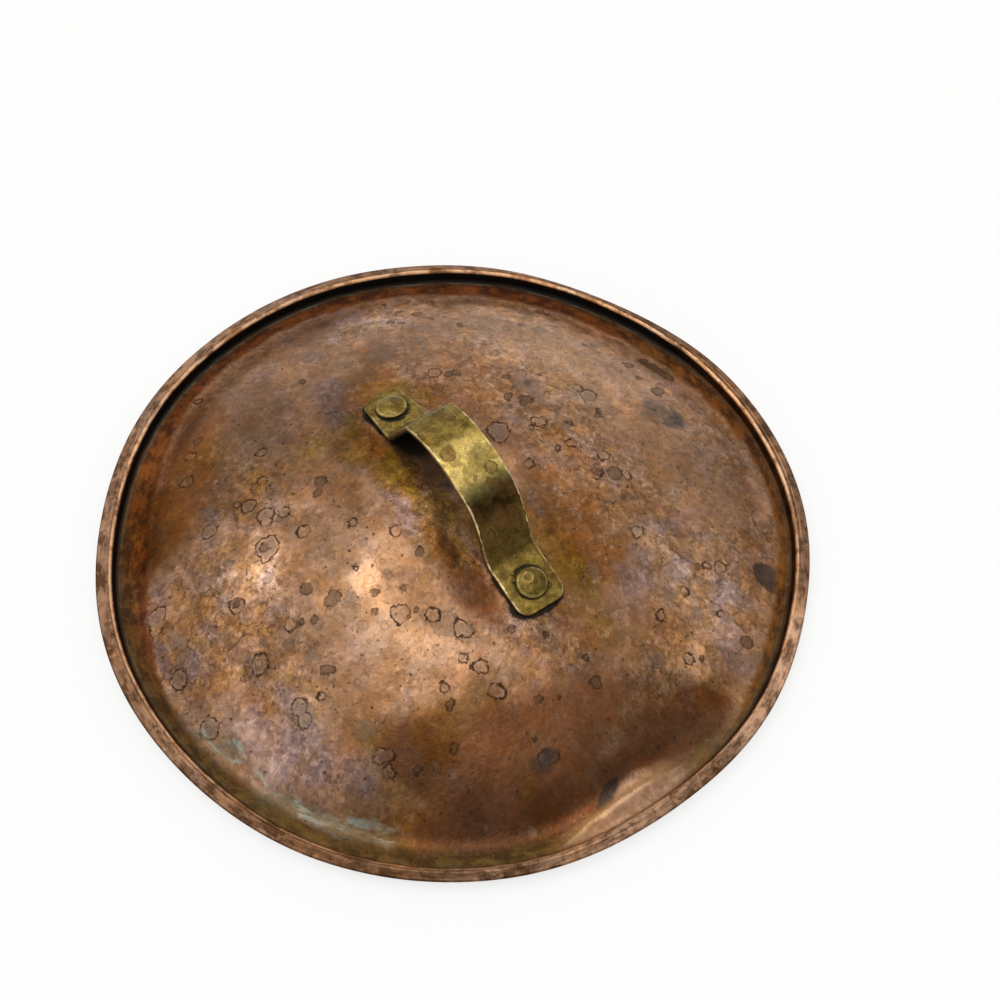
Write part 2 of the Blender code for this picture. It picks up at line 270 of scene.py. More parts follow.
# Patches on the lid's top: x, y, half length, half width, turn in degrees if any, strength.
# dim and lift change the brightness as painted shade and painted light, amber and rosy the hue, and flaky
# how much the surface flakes.
PATCHES = {
    "warm": [
        (30, 28, 23, 12, 8, 0.85), (47, 20, 11, 9, 0.6), (-20, -29, 13, 6, 0.5), (60, 9, 13, 10, 0.6),
        (-36, 15, 12, 6, 10, 1), (-58, 3, 9, 11, 0.75), (-48, -9, 10, 6, 0.6), (20, -13, 32, 7, -4, 0.85),
        (-31, -13, 14, 5, 0.7), (-22, 24, 30, 6, 0.55), (-64, -68, 26, 15, -45, 0.8),
        (-44, -98, 18, 9, -22, 0.8), (-82, -50, 14, 20, 30, 0.55), (82, -70, 22, 8, 48, 0.8),
        (98, 62, 16, 5, 125, 0.5), (-40, 36, 18, 8, 0.35), (-20, -92, 16, 8, 0.35), (70, 30, 16, 12, 0.35),
        (48, -66, 10, 8, 0.5), (106, -44, 5, 12, -20, 0.7), (-66, 14, 9, 8, 0.5),
    ],
    "violet": [
        (-60, -8, 10, 8, 0.8), (-49, -15, 9, 5, -20, 0.8), (-46, -66, 5, 4, 0.9),
        (55, -77, 13, 5, 20, 0.95), (40, -91, 20, 8, 12, 0.75), (-18, -105, 16, 4, 0.8),
        (-35, -93, 11, 8, 0.6), (-105, 2, 5, 22, 0.5), (46, 60, 10, 14, 0.45), (62, 50, 9, 9, 0.4),
        (2, -19, 9, 4, 0.8), (45, -17, 8, 4, 0.6), (56, 3, 4, 4, 0.6), (-66, -24, 14, 9, 0.35),
        (93, -55, 9, 7, 0.35), (-10, -20, 7, 4, 0.6), (-96, 18, 8, 12, 0.5), (-90, -28, 10, 14, 0.4),
        (-10, 25, 24, 5, 0.5), (20, 48, 8, 8, 0.4), (52, 36, 9, 6, 0.6), (90, 50, 10, 10, 0.5),
        (64, 62, 8, 6, 0.4), (58, 31, 7, 6, 0.6), (-6, -98, 6, 5, 0.7), (30, -78, 8, 4, 0.5),
        (-50, 0, 6, 4, 0.4), (-84, -4, 5, 5, 0.5), (12, -106, 10, 3, 0.5), (28, -95, 16, 8, 0.9),
        (40, -81, 14, 7, 0.6), (16, -50, 9, 6, 0.35), (-32, -97, 10, 6, 0.4), (0, 97, 16, 6, 0.45),
        (73, 57, 10, 9, 0.35),
    ],
    # Painted shade in front of the handle and a painted dark reflection on the right, with darker brown at
    # the lower left
    "shade": [
        (88, -36, 24, 34, 8, 1), (62, -56, 16, 13, 20, 0.85), (99, 18, 9, 21, 1),
        (80, -6, 16, 16, 0.55), (101, -12, 4, 24, 1), (-70, -72, 26, 16, -44, 0.45),
        (-52, -90, 16, 12, -30, 0.5), (-86, -52, 14, 18, 30, 0.35), (-67, 14, 8, 8, 0.4),
        (28, -14, 24, 6, -4, 0.6), (-10, -9, 20, 5, 0.5), (92, -60, 12, 12, 40, 0.6), (98, 29, 9, 13, 1),
        (81, 1, 12, 12, 0.4), (84, 14, 10, 10, 0.35), (32, -18, 13, 6, 0.7),
    ],
    # Painted highlight: paler, pinker copper where the light falls, also on the fold's facet at the right
    "pale_sheen": [
        (18, -40, 36, 12, -5, 0.5), (-16, -66, 14, 12, 0.4), (-28, 66, 34, 22, 12, 0.5),
        (-84, 30, 14, 24, 20, 0.4), (52, -22, 10, 5, 40, 0.4), (30, -96, 16, 5, 5, 0.4),
        (109, -10, 4, 16, 3, 1), (109, -20, 4, 10, -8, 0.6), (-60, 72, 22, 8, 50, 0.5),
        (-94, 34, 5, 16, 20, 0.4), (8, -28, 9, 7, 0.6), (40, -34, 16, 7, 20, 0.4),
        (66, 88, 10, 4, 127, 0.5), (9, -41, 7, 6, 0.9), (22, -38, 12, 6, -10, 0.6), (-14, -66, 7, 5, 0.7),
    ],
    "green": [
        (15, -105, 5, 3, 0.7), (25.5, -103.5, 6, 3, 8, 0.9), (38.7, -101, 7, 3, 15, 0.7),
        (49, -97, 9, 3.5, 24, 0.95), (59, -91, 7, 4, 35, 0.9), (68, -85.5, 8, 4, 35, 0.8),
        (76, -77, 6, 5, 40, 0.45), (44, -103, 8, 3, 24, 0.8),
    ],
    "olive": [
        (-15, -12, 13, 6, 0.95), (-42, -14, 6, 4, 0.7), (-45, -26, 7, 5, 0.6), (0, -13, 8, 4, 0.7),
        (10, -9, 18, 5, -8, 0.8), (28, -15, 14, 5, 0.6), (82, -76, 12, 5, 50, 0.6), (50, -65, 8, 6, 0.6),
        (107, -38, 4, 10, -20, 0.8), (108, 22, 4, 12, 10, 0.6), (-40, 6, 12, 10, 0.7),
        (46, 17, 11, 5, 10, 0.6), (60, 14, 9, 6, 0.5),
    ],
    # Painted shadow under the strap
    "darkening": [
        (-25, -2, 10, 8, -4, 1), (-6, -1, 12, 6, 0.5), (14, -12, 12, 4, -10, 0.35),
    ],
    # Dark smudges, and at x 103.5 painted shade in the fold at the right
    "smudge_and_shade": [
        (75, 81.5, 5.5, 4.5, -40, 1), (72, 79, 5, 4, 1), (5, 85, 9, 9, 0.48),
        (103.5, -12.5, 1.9, 7, 4, 0.95), (-25, 46.5, 4, 4, 0.4), (86, -24, 4, 4, 0.4),
    ],
    "flaky": [
        (-20, 42, 44, 20, 0.6), (24, 48, 30, 18, 0.6), (66, 58, 24, 20, 0.7), (84, 30, 16, 20, 0.6),
        (-6, -78, 36, 18, 0.9), (-40, -52, 20, 14, 0.6), (-86, 30, 14, 30, 0.5), (16, 96, 30, 14, 0.4),
        (60, 84, 12, 14, 0.8), (-44, 14, 16, 14, 0.6), (-60, 74, 24, 10, 40, 0.35), (30, -84, 24, 10, 0.5),
        (-2, -12, 50, 10, 0.7), (56, -4, 14, 14, 0.8), (36, 24, 26, 12, 0.5), (-16, -100, 30, 8, 0.7),
    ],
    # Painted shade
    "dim": [
        (0, -64, 12, 9, 0.45), (34, -63, 10, 8, 0.45), (16, -48, 8, 7, 0.4), (64, -47, 8, 8, 0.4),
        (32, 86, 16, 14, 0.5), (90, 16, 14, 12, 0.5), (96, -4, 10, 14, 0.4), (24, 17, 14, 9, 0.6),
        (44, 16, 12, 8, 0.5), (-32, -17, 24, 8, 0.85), (24, -17, 14, 7, 0.95), (-48, -10, 12, 10, 0.5),
        (-58, -46, 15, 30, 20, 0.55), (-44, -44, 14, 20, 0.4), (66, -62, 16, 20, 20, 0.9),
        (16, -66, 9, 10, 0.7), (64, -44, 8, 10, 0.6), (-66, 2, 10, 10, 0.45), (66, -80, 10, 9, 0.6),
        (46, -67, 10, 9, 0.45), (-50, -83, 10, 9, 0.45), (-2, -46, 9, 8, 0.5), (-97, 3, 8, 10, 0.45),
        (63, -31, 9, 9, 0.5), (97, -33, 8, 12, 0.5), (31, -18, 10, 6, 0.45), (86, -62, 12, 12, 0.5),
        (84, -50, 10, 10, 0.45), (-17, -32, 13, 8, 0.6), (98, 32, 8, 9, 0.6), (24, -32, 14, 7, 0.5),
        (-16, -47, 9, 7, 0.4), (49, 32, 8, 7, 0.4), (16, -17, 10, 6, 0.6), (16, -80, 8, 7, 0.4),
        (32, -16, 9, 5, 0.6),
    ],
    # Painted light
    "lift": [
        (-48, -48, 9, 8, 0.5), (80, -64, 9, 9, 0.6), (80, 48, 9, 8, 0.4), (-80, 50, 10, 12, 0.4),
        (-16, -64, 12, 10, 0.8), (-30, -92, 16, 8, 0.5), (34, -91, 18, 7, 12, 0.7),
        (46, -36, 12, 8, 10, 0.5), (2, -16, 6, 6, 0.5), (80, 50, 12, 12, 0.7), (64, 60, 14, 12, 0.3),
        (84, 34, 6, 7, 0.5), (0, 18, 8, 6, 0.7), (-56, 80, 14, 8, 40, 0.4), (18, -95, 14, 6, 0.75),
        (33, -96, 10, 6, 0.7), (-31, 33, 10, 8, 0.45), (82, 36, 8, 8, 0.45), (9, -40, 6, 5, 0.8),
        (17, 47, 10, 8, 0.5), (2, 18, 8, 5, 0.5), (-28, 95, 18, 8, 20, 0.7), (-62, 79, 15, 8, 50, 0.6),
        (-81, 61, 11, 11, 0.45), (-90, 40, 8, 15, 20, 0.45), (-42, 48, 14, 9, 0.45),
        (-24, -96, 18, 7, -10, 0.45), (-80, -58, 9, 12, 0.4), (-6, 79, 12, 9, 0.45), (50, -48, 8, 8, 0.4),
        (60, -15, 12, 8, 0.4), (81, 33, 8, 7, 0.4), (-84, -54, 10, 15, 10, 0.4), (-83, -15, 9, 8, 0.4),
        (68, 48, 12, 9, 0.25), (17, 31, 8, 6, 0.4), (-78, -68, 10, 9, 0.5), (-98, 32, 7, 9, 0.4),
    ],
    "amber": [
        (38, 16, 16, 9, 0.7), (22, 2, 16, 7, 0.8), (-47, 3, 9, 9, 0.8), (-16, -15, 16, 6, 0.9),
        (-34, -18, 10, 7, 0.6), (14, -17, 12, 6, 0.5), (-58, -82, 18, 12, -40, 0.7),
        (-68, -58, 14, 14, 0.6), (64, -48, 14, 10, 0.6), (82, -30, 10, 8, 0.4), (74, -66, 14, 10, 40, 0.4),
        (-40, -32, 14, 8, 0.4), (62, -32, 9, 8, 0.4), (16, 14, 12, 5, 0.7), (74, 17, 12, 6, 0.35),
        (96, -32, 8, 9, 0.4), (96, 34, 8, 8, 0.5), (-50, -2, 8, 7, 0.7), (-46, -46, 12, 8, 0.4),
    ],
    "rosy": [
        (-44, 66, 46, 22, 10, 0.8), (6, 93, 34, 12, 1), (66, 54, 22, 18, 0.9), (-86, 24, 12, 24, 10, 0.9),
        (-74, 2, 16, 10, 1), (82, -8, 12, 10, 0.9), (82, -26, 10, 10, 0.7), (-96, -24, 9, 14, 0.7),
        (-80, -46, 8, 10, 1), (20, -47, 16, 8, 0.9), (48, -48, 12, 8, 0.6), (-16, -72, 34, 14, 0.5),
        (38, -82, 14, 8, 1), (-34, -96, 12, 6, 1), (26, -96, 18, 6, 8, 1), (46, 38, 14, 12, 0.7),
        (95, -8, 8, 14, 0.6), (98, 12, 7, 8, 0.6), (0, 56, 24, 14, 0.6), (82, 34, 9, 9, 0.7),
        (-64, 78, 14, 10, 40, 0.6),
    ],
}

# Painted light on the foot of the dome at the far side: angle in degrees, strength
FAR_LIFT = [
    (68, 0), (90, 0.9), (100, 1.2), (110, 1.6), (158, 1.65), (172, 1.1), (192, 0.9), (212, 0.4),
    (228, 0),
]
# Painted shade on the foot of the dome at the near side: angle in degrees, strength
FOOT_DIM = [
    (215, 0), (225, 0.4), (250, 0.5), (275, 0.8), (300, 0.7), (325, 0.95), (335, 0.8), (341, 0.4),
    (345, 0),
]

# How the rim changes round the lid: angle in degrees, then the value there
RIM_BANDS = {
    # radius at which the rust-brown band begins
    "rust_from": [
        (0, 114), (18, 112.5), (26, 110.2), (40, 109.4), (62, 110.4), (84, 109.4), (94, 107.6),
        (112, 107.2), (130, 106.8), (170, 107.8), (200, 108.6), (222, 105.4), (240, 103), (255, 105.5),
        (270, 109), (282, 111), (300, 112), (330, 110.5), (345, 114),
    ],
    # radius at which the painted black shade at the wall's foot begins
    "black_from": [
        (0, 114.4), (20, 113.4), (35, 112.6), (60, 113.6), (90, 113.6), (100, 113.3), (120, 113.1),
        (180, 113.4), (205, 113.5), (232, 113.7), (262, 113.8), (300, 114.2), (330, 114.6),
    ],
    "rust_light": [
        (0, 0.5), (24, 1), (50, 0.8), (62, 0.35), (88, 0.6), (98, 0.8), (112, 0.15), (200, 0.15),
        (222, 0.35), (255, 0.15), (272, 0.2), (300, 0.4), (345, 0.5),
    ],
    # strength of the painted highlight along the ridge
    "crest_gain": [
        (0, 0.7), (18, 0.5), (42, 0.6), (70, 0.85), (100, 0.8), (112, 1), (180, 0.95), (250, 1),
        (300, 0.8), (340, 0.85), (350, 0.7),
    ],
    "black_gain": [
        (0, 0.1), (20, 0.6), (45, 0.55), (60, 0.35), (90, 0.5), (102, 1), (205, 1), (232, 0.85),
        (265, 0.6), (300, 0.3), (335, 0.2), (348, 0.1),
    ],
    "channel_olive": [
        (0, 0.3), (14, 0.7), (26, 0.25), (60, 0.3), (90, 0.1), (110, 0.25), (125, 0.05), (228, 0.05),
        (245, 0.5), (262, 0.7), (290, 0.95), (340, 0.95), (350, 0.3),
    ],
    "flange_light": [
        (0, 0.6), (7, 0.35), (12, 0.2), (18, 0.8), (30, 1), (40, 0.9), (46, 0.3), (58, 0.15), (95, 0.1),
        (110, 0.1), (120, 0.3), (165, 0.3), (180, 0.5), (215, 0.45), (235, 0.45), (245, 0.35), (260, 0.2),
        (280, 0.25), (300, 0.05), (335, 0.1), (345, 0.6), (353, 0.7),
    ],
    # where the groove and the second painted highlight line show
    "second_line": [(50, 0), (58, 1), (92, 1), (102, 0), (340, 0), (350, 0.6), (358, 0)],
}


def new_mesh(name, verts, faces):
    mesh = bpy.data.meshes.new(name)
    mesh.from_pydata(verts, [], faces)
    mesh.update()
    return mesh


def turned_faces(rings, steps):
    """Faces of a turned body: a pole, rings of points and a last pole."""
    faces = []
    base = 1 + (rings - 1) * steps
    for i in range(steps):
        j = (i + 1) % steps
        faces.append((0, 1 + i, 1 + j))
        for a in range(1, base, steps):
            b = a + steps
            faces.append((a + i, b + i, b + j, a + j))
        faces.append((base + i, base + steps, base + j))
    return faces


def store(mesh, name, values):
    layer = mesh.attributes.new(name, 'FLOAT', 'POINT')
    layer.data.foreach_set("value", np.asarray(values, dtype=np.float32))


def round_the_rim(stops, angle):
    """Value at an angle in degrees between stops that close into a circle."""
    angles, values = zip(*stops)
    return np.interp(angle, angles, values, period=360)


# A patch has its full strength up to this share of its size, then fades over the second share
PATCH_CORE = 0.45
PATCH_FADE = 0.85


def patch_values(name, x, y):
    """Strength of one kind of patch at many points, 0 to 1."""
    clear = np.ones_like(x)
    for cx, cy, along, across, *turn, strength in PATCHES[name]:
        out = np.sqrt(oval(x, y, cx, cy, along, across, sum(turn)))
        t = np.clip((out - PATCH_CORE) / PATCH_FADE, 0, 1)
        clear *= 1 - strength * (1 - t * t * (3 - 2 * t))
    return 1 - clear


def between(values, rise, fall):
    """Ramps up from 0 to 1 along rise, and down from 1 to 0 along fall, each (at 0, at 1)."""
    up = np.clip((values - rise[0]) / (rise[1] - rise[0]), 0, 1)
    return up * np.clip((values - fall[0]) / (fall[1] - fall[0]), 0, 1)


def wandering(points):
    """Places shifted by smooth noise, for uneven outlines, and a random value for each."""
    noise.seed_set(5)  # without it noise_vector gives other values in each run
    rows = []
    for x, y in points:
        big = noise.noise_vector(Vector((x / 17, y / 17, 1)))
        small = noise.noise_vector(Vector((x / 5, y / 5, 4)))
        grain = noise.noise(Vector((x / 6, y / 6, 8)))
        rows.append((x + 4 * big.x + 1.8 * small.x, y + 4 * big.y + 1.8 * small.y, grain))
    return np.array(rows).T


def paint_lid(mesh):
    """Stores the patches and the rim's bands on the lid's points."""
    co = np.empty(len(mesh.vertices) * 3)
    mesh.vertices.foreach_get("co", co)
    points = co.reshape(-1, 3)[:, :2] / MM
    x, y, grain = wandering(points)
    layers = {name: patch_values(name, x, y) for name in PATCHES}
    angle = np.degrees(np.arctan2(points[:, 1], points[:, 0])) % 360

    radius = np.hypot(points[:, 0], points[:, 1])
    # Painted light on the far foot of the dome, painted shade on the near foot
    foot = between(radius, (88, 101), (107, 104)) * round_the_rim(FAR_LIFT, angle)
    layers["lift"] = np.maximum(layers["lift"], foot)
    foot = between(radius, (102, 106), (114, 112)) * round_the_rim(FOOT_DIM, angle)
    layers["dim"] = np.maximum(layers["dim"], foot)
    # Painted dark reflection on the right side of the dome
    turn = (angle + 180) % 360 - 180
    dark_side = between(turn, (-4, 6), (21.8, 20.6)) * between(radius, (82, 94), (111.5, 109))
    layers["dim"] = np.maximum(layers["dim"], 0.65 * dark_side)
    for name, values in layers.items():
        store(mesh, name, values)
    for name, stops in RIM_BANDS.items():
        store(mesh, name, round_the_rim(stops, angle + 3 * grain))


ROOT = list(frame["bodies"])[0]


def new_piece(name, mesh, node, material):
    obj = bpy.data.objects.new(name, mesh)
    bpy.context.scene.collection.objects.link(obj)
    mesh.materials.append(material)
    mesh.shade_smooth()
    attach(obj, ROOT)
    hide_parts(node)
    return obj


def dome_frame(x):
    """Frame on the dome's top above the point (x, HANDLE_Y), with Z along the normal."""
    height = math.sqrt(DOME_RADIUS ** 2 - x ** 2 - HANDLE_Y ** 2)
    normal = Vector((x, HANDLE_Y, height)).normalized()
    point = Vector((x, HANDLE_Y, DOME_CENTRE_Z + height))
    turn = Vector((0, 0, 1)).rotation_difference(normal).to_matrix().to_4x4()
    return Matrix.Translation(point) @ turn


def strap_path(step=0.7):
    """Top line of the strap in side view, each point with its upper normal."""
    pts = []
    for i in range(1, len(STRAP_CORNERS) - 1):
        corner = Vector(STRAP_CORNERS[i][:2])
        radius = STRAP_CORNERS[i][2]
        back = (Vector(STRAP_CORNERS[i - 1][:2]) - corner).normalized()
        ahead = (Vector(STRAP_CORNERS[i + 1][:2]) - corner).normalized()
        turn = math.pi - back.angle(ahead)
        centre = corner + (back + ahead).normalized() * (radius / math.cos(turn / 2))
        start = math.atan2(-back.x, back.y)
        left = ahead.x * back.y - ahead.y * back.x > 0
        n = max(6, int(radius * turn / step))
        for k in range(n + 1):
            a = start + math.pi + turn * k / n if left else start - turn * k / n
            out = Vector((math.cos(a), math.sin(a)))
            pts.append((centre + radius * out, -out if left else out))
    first, last = Vector(STRAP_CORNERS[0][:2]), Vector(STRAP_CORNERS[-1][:2])
    path = pad_end(first, pts[0], FAR_CORNER) + pts + pad_end(last, pts[-1], NEAR_CORNER)[::-1]
    full = [path[0]]
    for a, b in zip(path, path[1:]):
        gap = (b[0] - a[0]).length
        n = max(1, int(gap / 0.9))
        for k in range(1, n + 1):
            full.append((a[0].lerp(b[0], k / n), a[1].lerp(b[1], k / n).normalized()))
    return full


def pad_end(end, root, radius, steps=10):
    """Points on a pad's flat from its end inward, closest together where the corners are round."""
    share = radius / (root[0] - end).length
    turns = [math.radians(90) * i / steps for i in range(steps + 1)]
    return [(end.lerp(root[0], share * (1 - math.cos(a))), root[1]) for a in turns]


def strap_half_width(x):
    """Half the strap's width at x, with round pad corners and a slight waviness."""
    far_end, far_foot, shoulder = (STRAP_CORNERS[i][0] for i in range(3))
    near_end = STRAP_CORNERS[-1][0]
    taper = min(max((x - far_end) / (far_foot - far_end), 0), 1)
    pad = FAR_PAD_WIDTH + (FAR_ROOT_WIDTH - FAR_PAD_WIDTH) * taper
    width = pad + (STRAP_WIDTH - pad) * ease(x, far_foot, shoulder)
    inset = 0
    for radius, gap in ((FAR_CORNER, x - far_end), (NEAR_CORNER, near_end - x)):
        rest = max(radius - gap, 0)
        inset += radius - math.sqrt(max(radius ** 2 - rest ** 2, 0))
    wobble = 0.1 * noise.noise(Vector((x / 9, 2, 0)))
    return width / 2 - inset + wobble * ease(x - far_end, 3, 8) * ease(near_end - x, 4, 9)


def press_to_dome(point):
    """Moves the pads' points down along the dome's curve and leaves the bridge as it is."""
    rivet_x = FAR_RIVET_X if point.x < (FAR_RIVET_X + NEAR_RIVET_X) / 2 else NEAR_RIVET_X
    seat = dome_frame(rivet_x)
    local = seat.inverted() @ point
    away = math.hypot(local.x, local.y)
    drop = DOME_RADIUS - math.sqrt(DOME_RADIUS ** 2 - away ** 2)
    local.z -= drop * (1 - ease(local.z, 4, 8))
    return seat @ local


def strap_section(half, flats=14, corner_steps=4):
    """Cross-section with rounded edges, as (across, depth below the top face)."""
    r = min(STRAP_EDGE, half * 0.5)
    turns = [math.radians(90 * i / corner_steps) for i in range(1, corner_steps)]
    side = [((half - r) * (2 * i / flats - 1), 0) for i in range(flats + 1)]
    side += [(half - r + r * math.sin(a), r - r * math.cos(a)) for a in turns]
    side += [(half, r), (half, STRAP_THICKNESS - r)]
    side += [(half - r + r * math.cos(a), STRAP_THICKNESS - r + r * math.sin(a)) for a in turns]
    return r, side + [(-y, STRAP_THICKNESS - depth) for y, depth in side]


def edge_gain(x):
    """How bright the strap's edges are worn, less at both ends."""
    return 0.35 + 0.65 * ease(x, -19, -10) * (1 - 0.6 * ease(x, 44, 50))


def strap_darkening(x, y, depth):
    """Darker round both rivet heads and on the strap's lower sides and underside."""
    rivet = min(abs(math.hypot(x - rx, y) - HEAD_RADIUS) for rx in (FAR_RIVET_X, NEAR_RIVET_X))
    return max(0.75 * (1 - ease(rivet, 0, 1.1)), 0.8 * ease(depth, 0.9, 2))


def strap_mesh():
    verts, faces = [], []
    gaps, gains, darkenings = [], [], []
    path = strap_path()
    for point, normal in path:
        half = strap_half_width(point.x)
        r, outline = strap_section(half)
        for y, depth in outline:
            spot = point - normal * depth
            spot3 = Vector((spot.x, y + HANDLE_Y, spot.y))
            wave = 0.05 * noise.noise(spot3 / 4)
            placed = press_to_dome(spot3)
            if depth < 0.1:
                placed -= Vector((normal.x, 0, normal.y)) * (abs(wave) + 0.02)
            verts.append(placed * MM)
            gaps.append(half - abs(y) + max(depth - r, 0) * 1.2)
            gains.append(edge_gain(point.x))
            darkenings.append(strap_darkening(point.x, y, depth))
    ring = len(verts) // len(path)
    for k in range(len(path) - 1):
        a, b = k * ring, (k + 1) * ring
        for i in range(ring):
            j = (i + 1) % ring
            faces.append((a + i, a + j, b + j, b + i))
    faces.append(tuple(range(ring))[::-1])
    base = (len(path) - 1) * ring
    faces.append(tuple(base + i for i in range(ring)))
    mesh = new_mesh("strap_body", verts, faces)
    store(mesh, "edge_gap", gaps)
    store(mesh, "edge_gain", gains)
    store(mesh, "darkening", darkenings)
    return mesh


# Dents of the hammered heads: x, y, size, depth
HEAD_DENTS = {
    "rivet_near_body": [(-1.8, -0.6, 1.35, 0.3), (1.8, 0.6, 1.1, 0.14), (0.2, 2.4, 1, 0.08)],
    "rivet_far_body": [(0.5, 0.2, 0.6, 0.08), (-1.5, 1.2, 0.8, 0.06)],
}


def rivet_profile(height, fullness, steps=18):
    """A rivet's half section from the head's cap down to the tail, as (radius, height)."""
    rise = height - HEAD_EDGE
    sphere = (HEAD_RADIUS ** 2 + rise ** 2) / (2 * rise)
    half = math.asin(HEAD_RADIUS / sphere)
    profile = []
    for i in range(1, steps + 1):
        a = half * i / steps
        r = sphere * math.sin(a)
        cap = height - sphere * (1 - math.cos(a))
        full = HEAD_EDGE + rise * max(1 - (r / HEAD_RADIUS) ** 4, 0) ** 0.5
        profile.append((r, HEAD_SEAT + cap + fullness * (full - cap)))
    profile[-1] = (HEAD_RADIUS - 0.12, profile[-1][1] + 0.02)
    profile += [(HEAD_RADIUS, HEAD_SEAT + HEAD_EDGE - 0.15), (HEAD_RADIUS, HEAD_SEAT + 0.1),
                (HEAD_RADIUS - 0.1, HEAD_SEAT), (SHANK_RADIUS, HEAD_SEAT)]
    for radius, drop in ((SHANK_RADIUS, 0), (TAIL_RADIUS, 0), (TAIL_RADIUS, TAIL_EDGE),
                         (TAIL_RADIUS - 1, TAIL_HEIGHT - 0.5), (TAIL_RADIUS - 2.6, TAIL_HEIGHT - 0.1)):
        profile.append((radius, TAIL_SEAT - drop))
    return profile


def head_dip(name, x, y, seed):
    """How far a place on a hammered head lies below its smooth cap."""
    near_top = 1 - ease(math.hypot(x, y), HEAD_RADIUS - 0.7, HEAD_RADIUS)
    dip = near_top * abs(0.16 * noise.noise(Vector((x / 2.2, y / 2.2, seed))))
    for dx, dy, size, depth in HEAD_DENTS[name]:
        dip += depth * math.exp(-(math.hypot(x - dx, y - dy) / size) ** 4)
    return dip


def head_marks(name, x, y, z):
    """Darker round the foot of a rivet's head, and a painted highlight on its edge and on the lip of its
    first dent.
    """
    away = math.hypot(x, y)
    dx, dy, size, depth = HEAD_DENTS[name][0]
    edge = math.exp(-((away - HEAD_RADIUS + 0.55) / 0.3) ** 2)
    lip = math.exp(-((math.hypot(x - dx, y - dy) / size - 1.15) / 0.22) ** 2)
    darkening = 0.8 * (z < HEAD_SEAT + 0.35) * ease(away, 4.5, 5.25)
    return darkening, (z > HEAD_SEAT + 0.3) * max(edge, 0.8 * lip)


def rivet_mesh(name, x, height, fullness, seed, steps=64):
    """Hammered head, shank and tail, turned in fine steps with an uneven head."""
    profile = rivet_profile(height, fullness)
    turns = [2 * math.pi * i / steps for i in range(steps)]
    verts = [(0, 0, HEAD_SEAT + height)]
    verts += [(r * math.cos(a), r * math.sin(a), z) for r, z in profile for a in turns]
    verts.append((0, 0, TAIL_SEAT - TAIL_HEIGHT))
    place = dome_frame(x)
    out = []
    for px, py, pz in verts:
        dip = head_dip(name, px, py, seed) if pz > HEAD_SEAT + 0.3 else 0
        out.append(place @ Vector((px, py, pz - dip)) * MM)
    mesh = new_mesh(name, out, turned_faces(len(profile), steps))
    darkening, shine = zip(*(head_marks(name, *v) for v in verts))
    store(mesh, "darkening", darkening)
    store(mesh, "shine", shine)
    return mesh


class Graph:
    """Short calls for building a material's nodes."""

    def __init__(self, material):
        self.tree = material.node_tree

    def put(self, socket, value):
        """Links or sets a socket. A colour comes without its alpha."""
        if isinstance(value, bpy.types.NodeSocket):
            self.tree.links.new(value, socket)
        else:
            socket.default_value = (*value, 1) if socket.type == 'RGBA' else value

    def node(self, kind, **settings):
        n = self.tree.nodes.new(kind)
        for key, value in settings.items():
            setattr(n, key, value)
        return n

    def math(self, op, a, b=0, c=None, clamp=False):
        n = self.node("ShaderNodeMath", operation=op, use_clamp=clamp)
        for socket, value in zip(n.inputs, (a, b, c)):
            if value is not None:
                self.put(socket, value)
        return n.outputs[0]

    def vec(self, op, a, b=None):
        n = self.node("ShaderNodeVectorMath", operation=op)
        self.put(n.inputs[0], a)
        if b is not None:
            self.put(n.inputs[1], b)
        return n.outputs["Value"] if op in ("DISTANCE", "LENGTH", "DOT_PRODUCT") else n.outputs[0]

    add = partialmethod(math, "ADD")
    sub = partialmethod(math, "SUBTRACT")
    mul = partialmethod(math, "MULTIPLY")
    fma = partialmethod(math, "MULTIPLY_ADD")
    abs = partialmethod(math, "ABSOLUTE")
    vadd = partialmethod(vec, "ADD")
    vsub = partialmethod(vec, "SUBTRACT")
    vmul = partialmethod(vec, "MULTIPLY")

    def scale(self, a, factor):
        n = self.node("ShaderNodeVectorMath", operation="SCALE")
        self.put(n.inputs[0], a)
        self.put(n.inputs["Scale"], factor)
        return n.outputs[0]

    def painted(self, name):
        """Values stored on the mesh's points."""
        return self.node("ShaderNodeAttribute", attribute_name=name).outputs["Fac"]

    def split(self, coords):
        n = self.node("ShaderNodeSeparateXYZ")
        self.put(n.inputs[0], coords)
        return n.outputs

    def noise(self, coords, scale, detail=3, rough=0.5, color=False):
        n = self.node("ShaderNodeTexNoise")
        for name, value in (("Vector", coords), ("Scale", scale), ("Detail", detail), ("Roughness", rough)):
            self.put(n.inputs[name], value)
        return n.outputs["Color"] if color else n.outputs["Fac"]

    def wander(self, coords, scale, detail, rough=0.5):
        """Smooth random vectors around zero."""
        return self.vsub(self.noise(coords, scale, detail, rough, color=True), (0.5, 0.5, 0.5))

    def ramp(self, value, low, high, out_low=0, out_high=1, kind='SMOOTHSTEP'):
        n = self.node("ShaderNodeMapRange", interpolation_type=kind, clamp=True)
        for name, number in (("Value", value), ("From Min", low), ("From Max", high),
                             ("To Min", out_low), ("To Max", out_high)):
            self.put(n.inputs[name], number)
        return n.outputs["Result"]

    def mix(self, fac, a, b):
        n = self.node("ShaderNodeMix", data_type='RGBA', clamp_factor=True)
        self.put(n.inputs["Factor"], fac)
        self.put(n.inputs[6], a)
        self.put(n.inputs[7], b)
        return n.outputs[2]


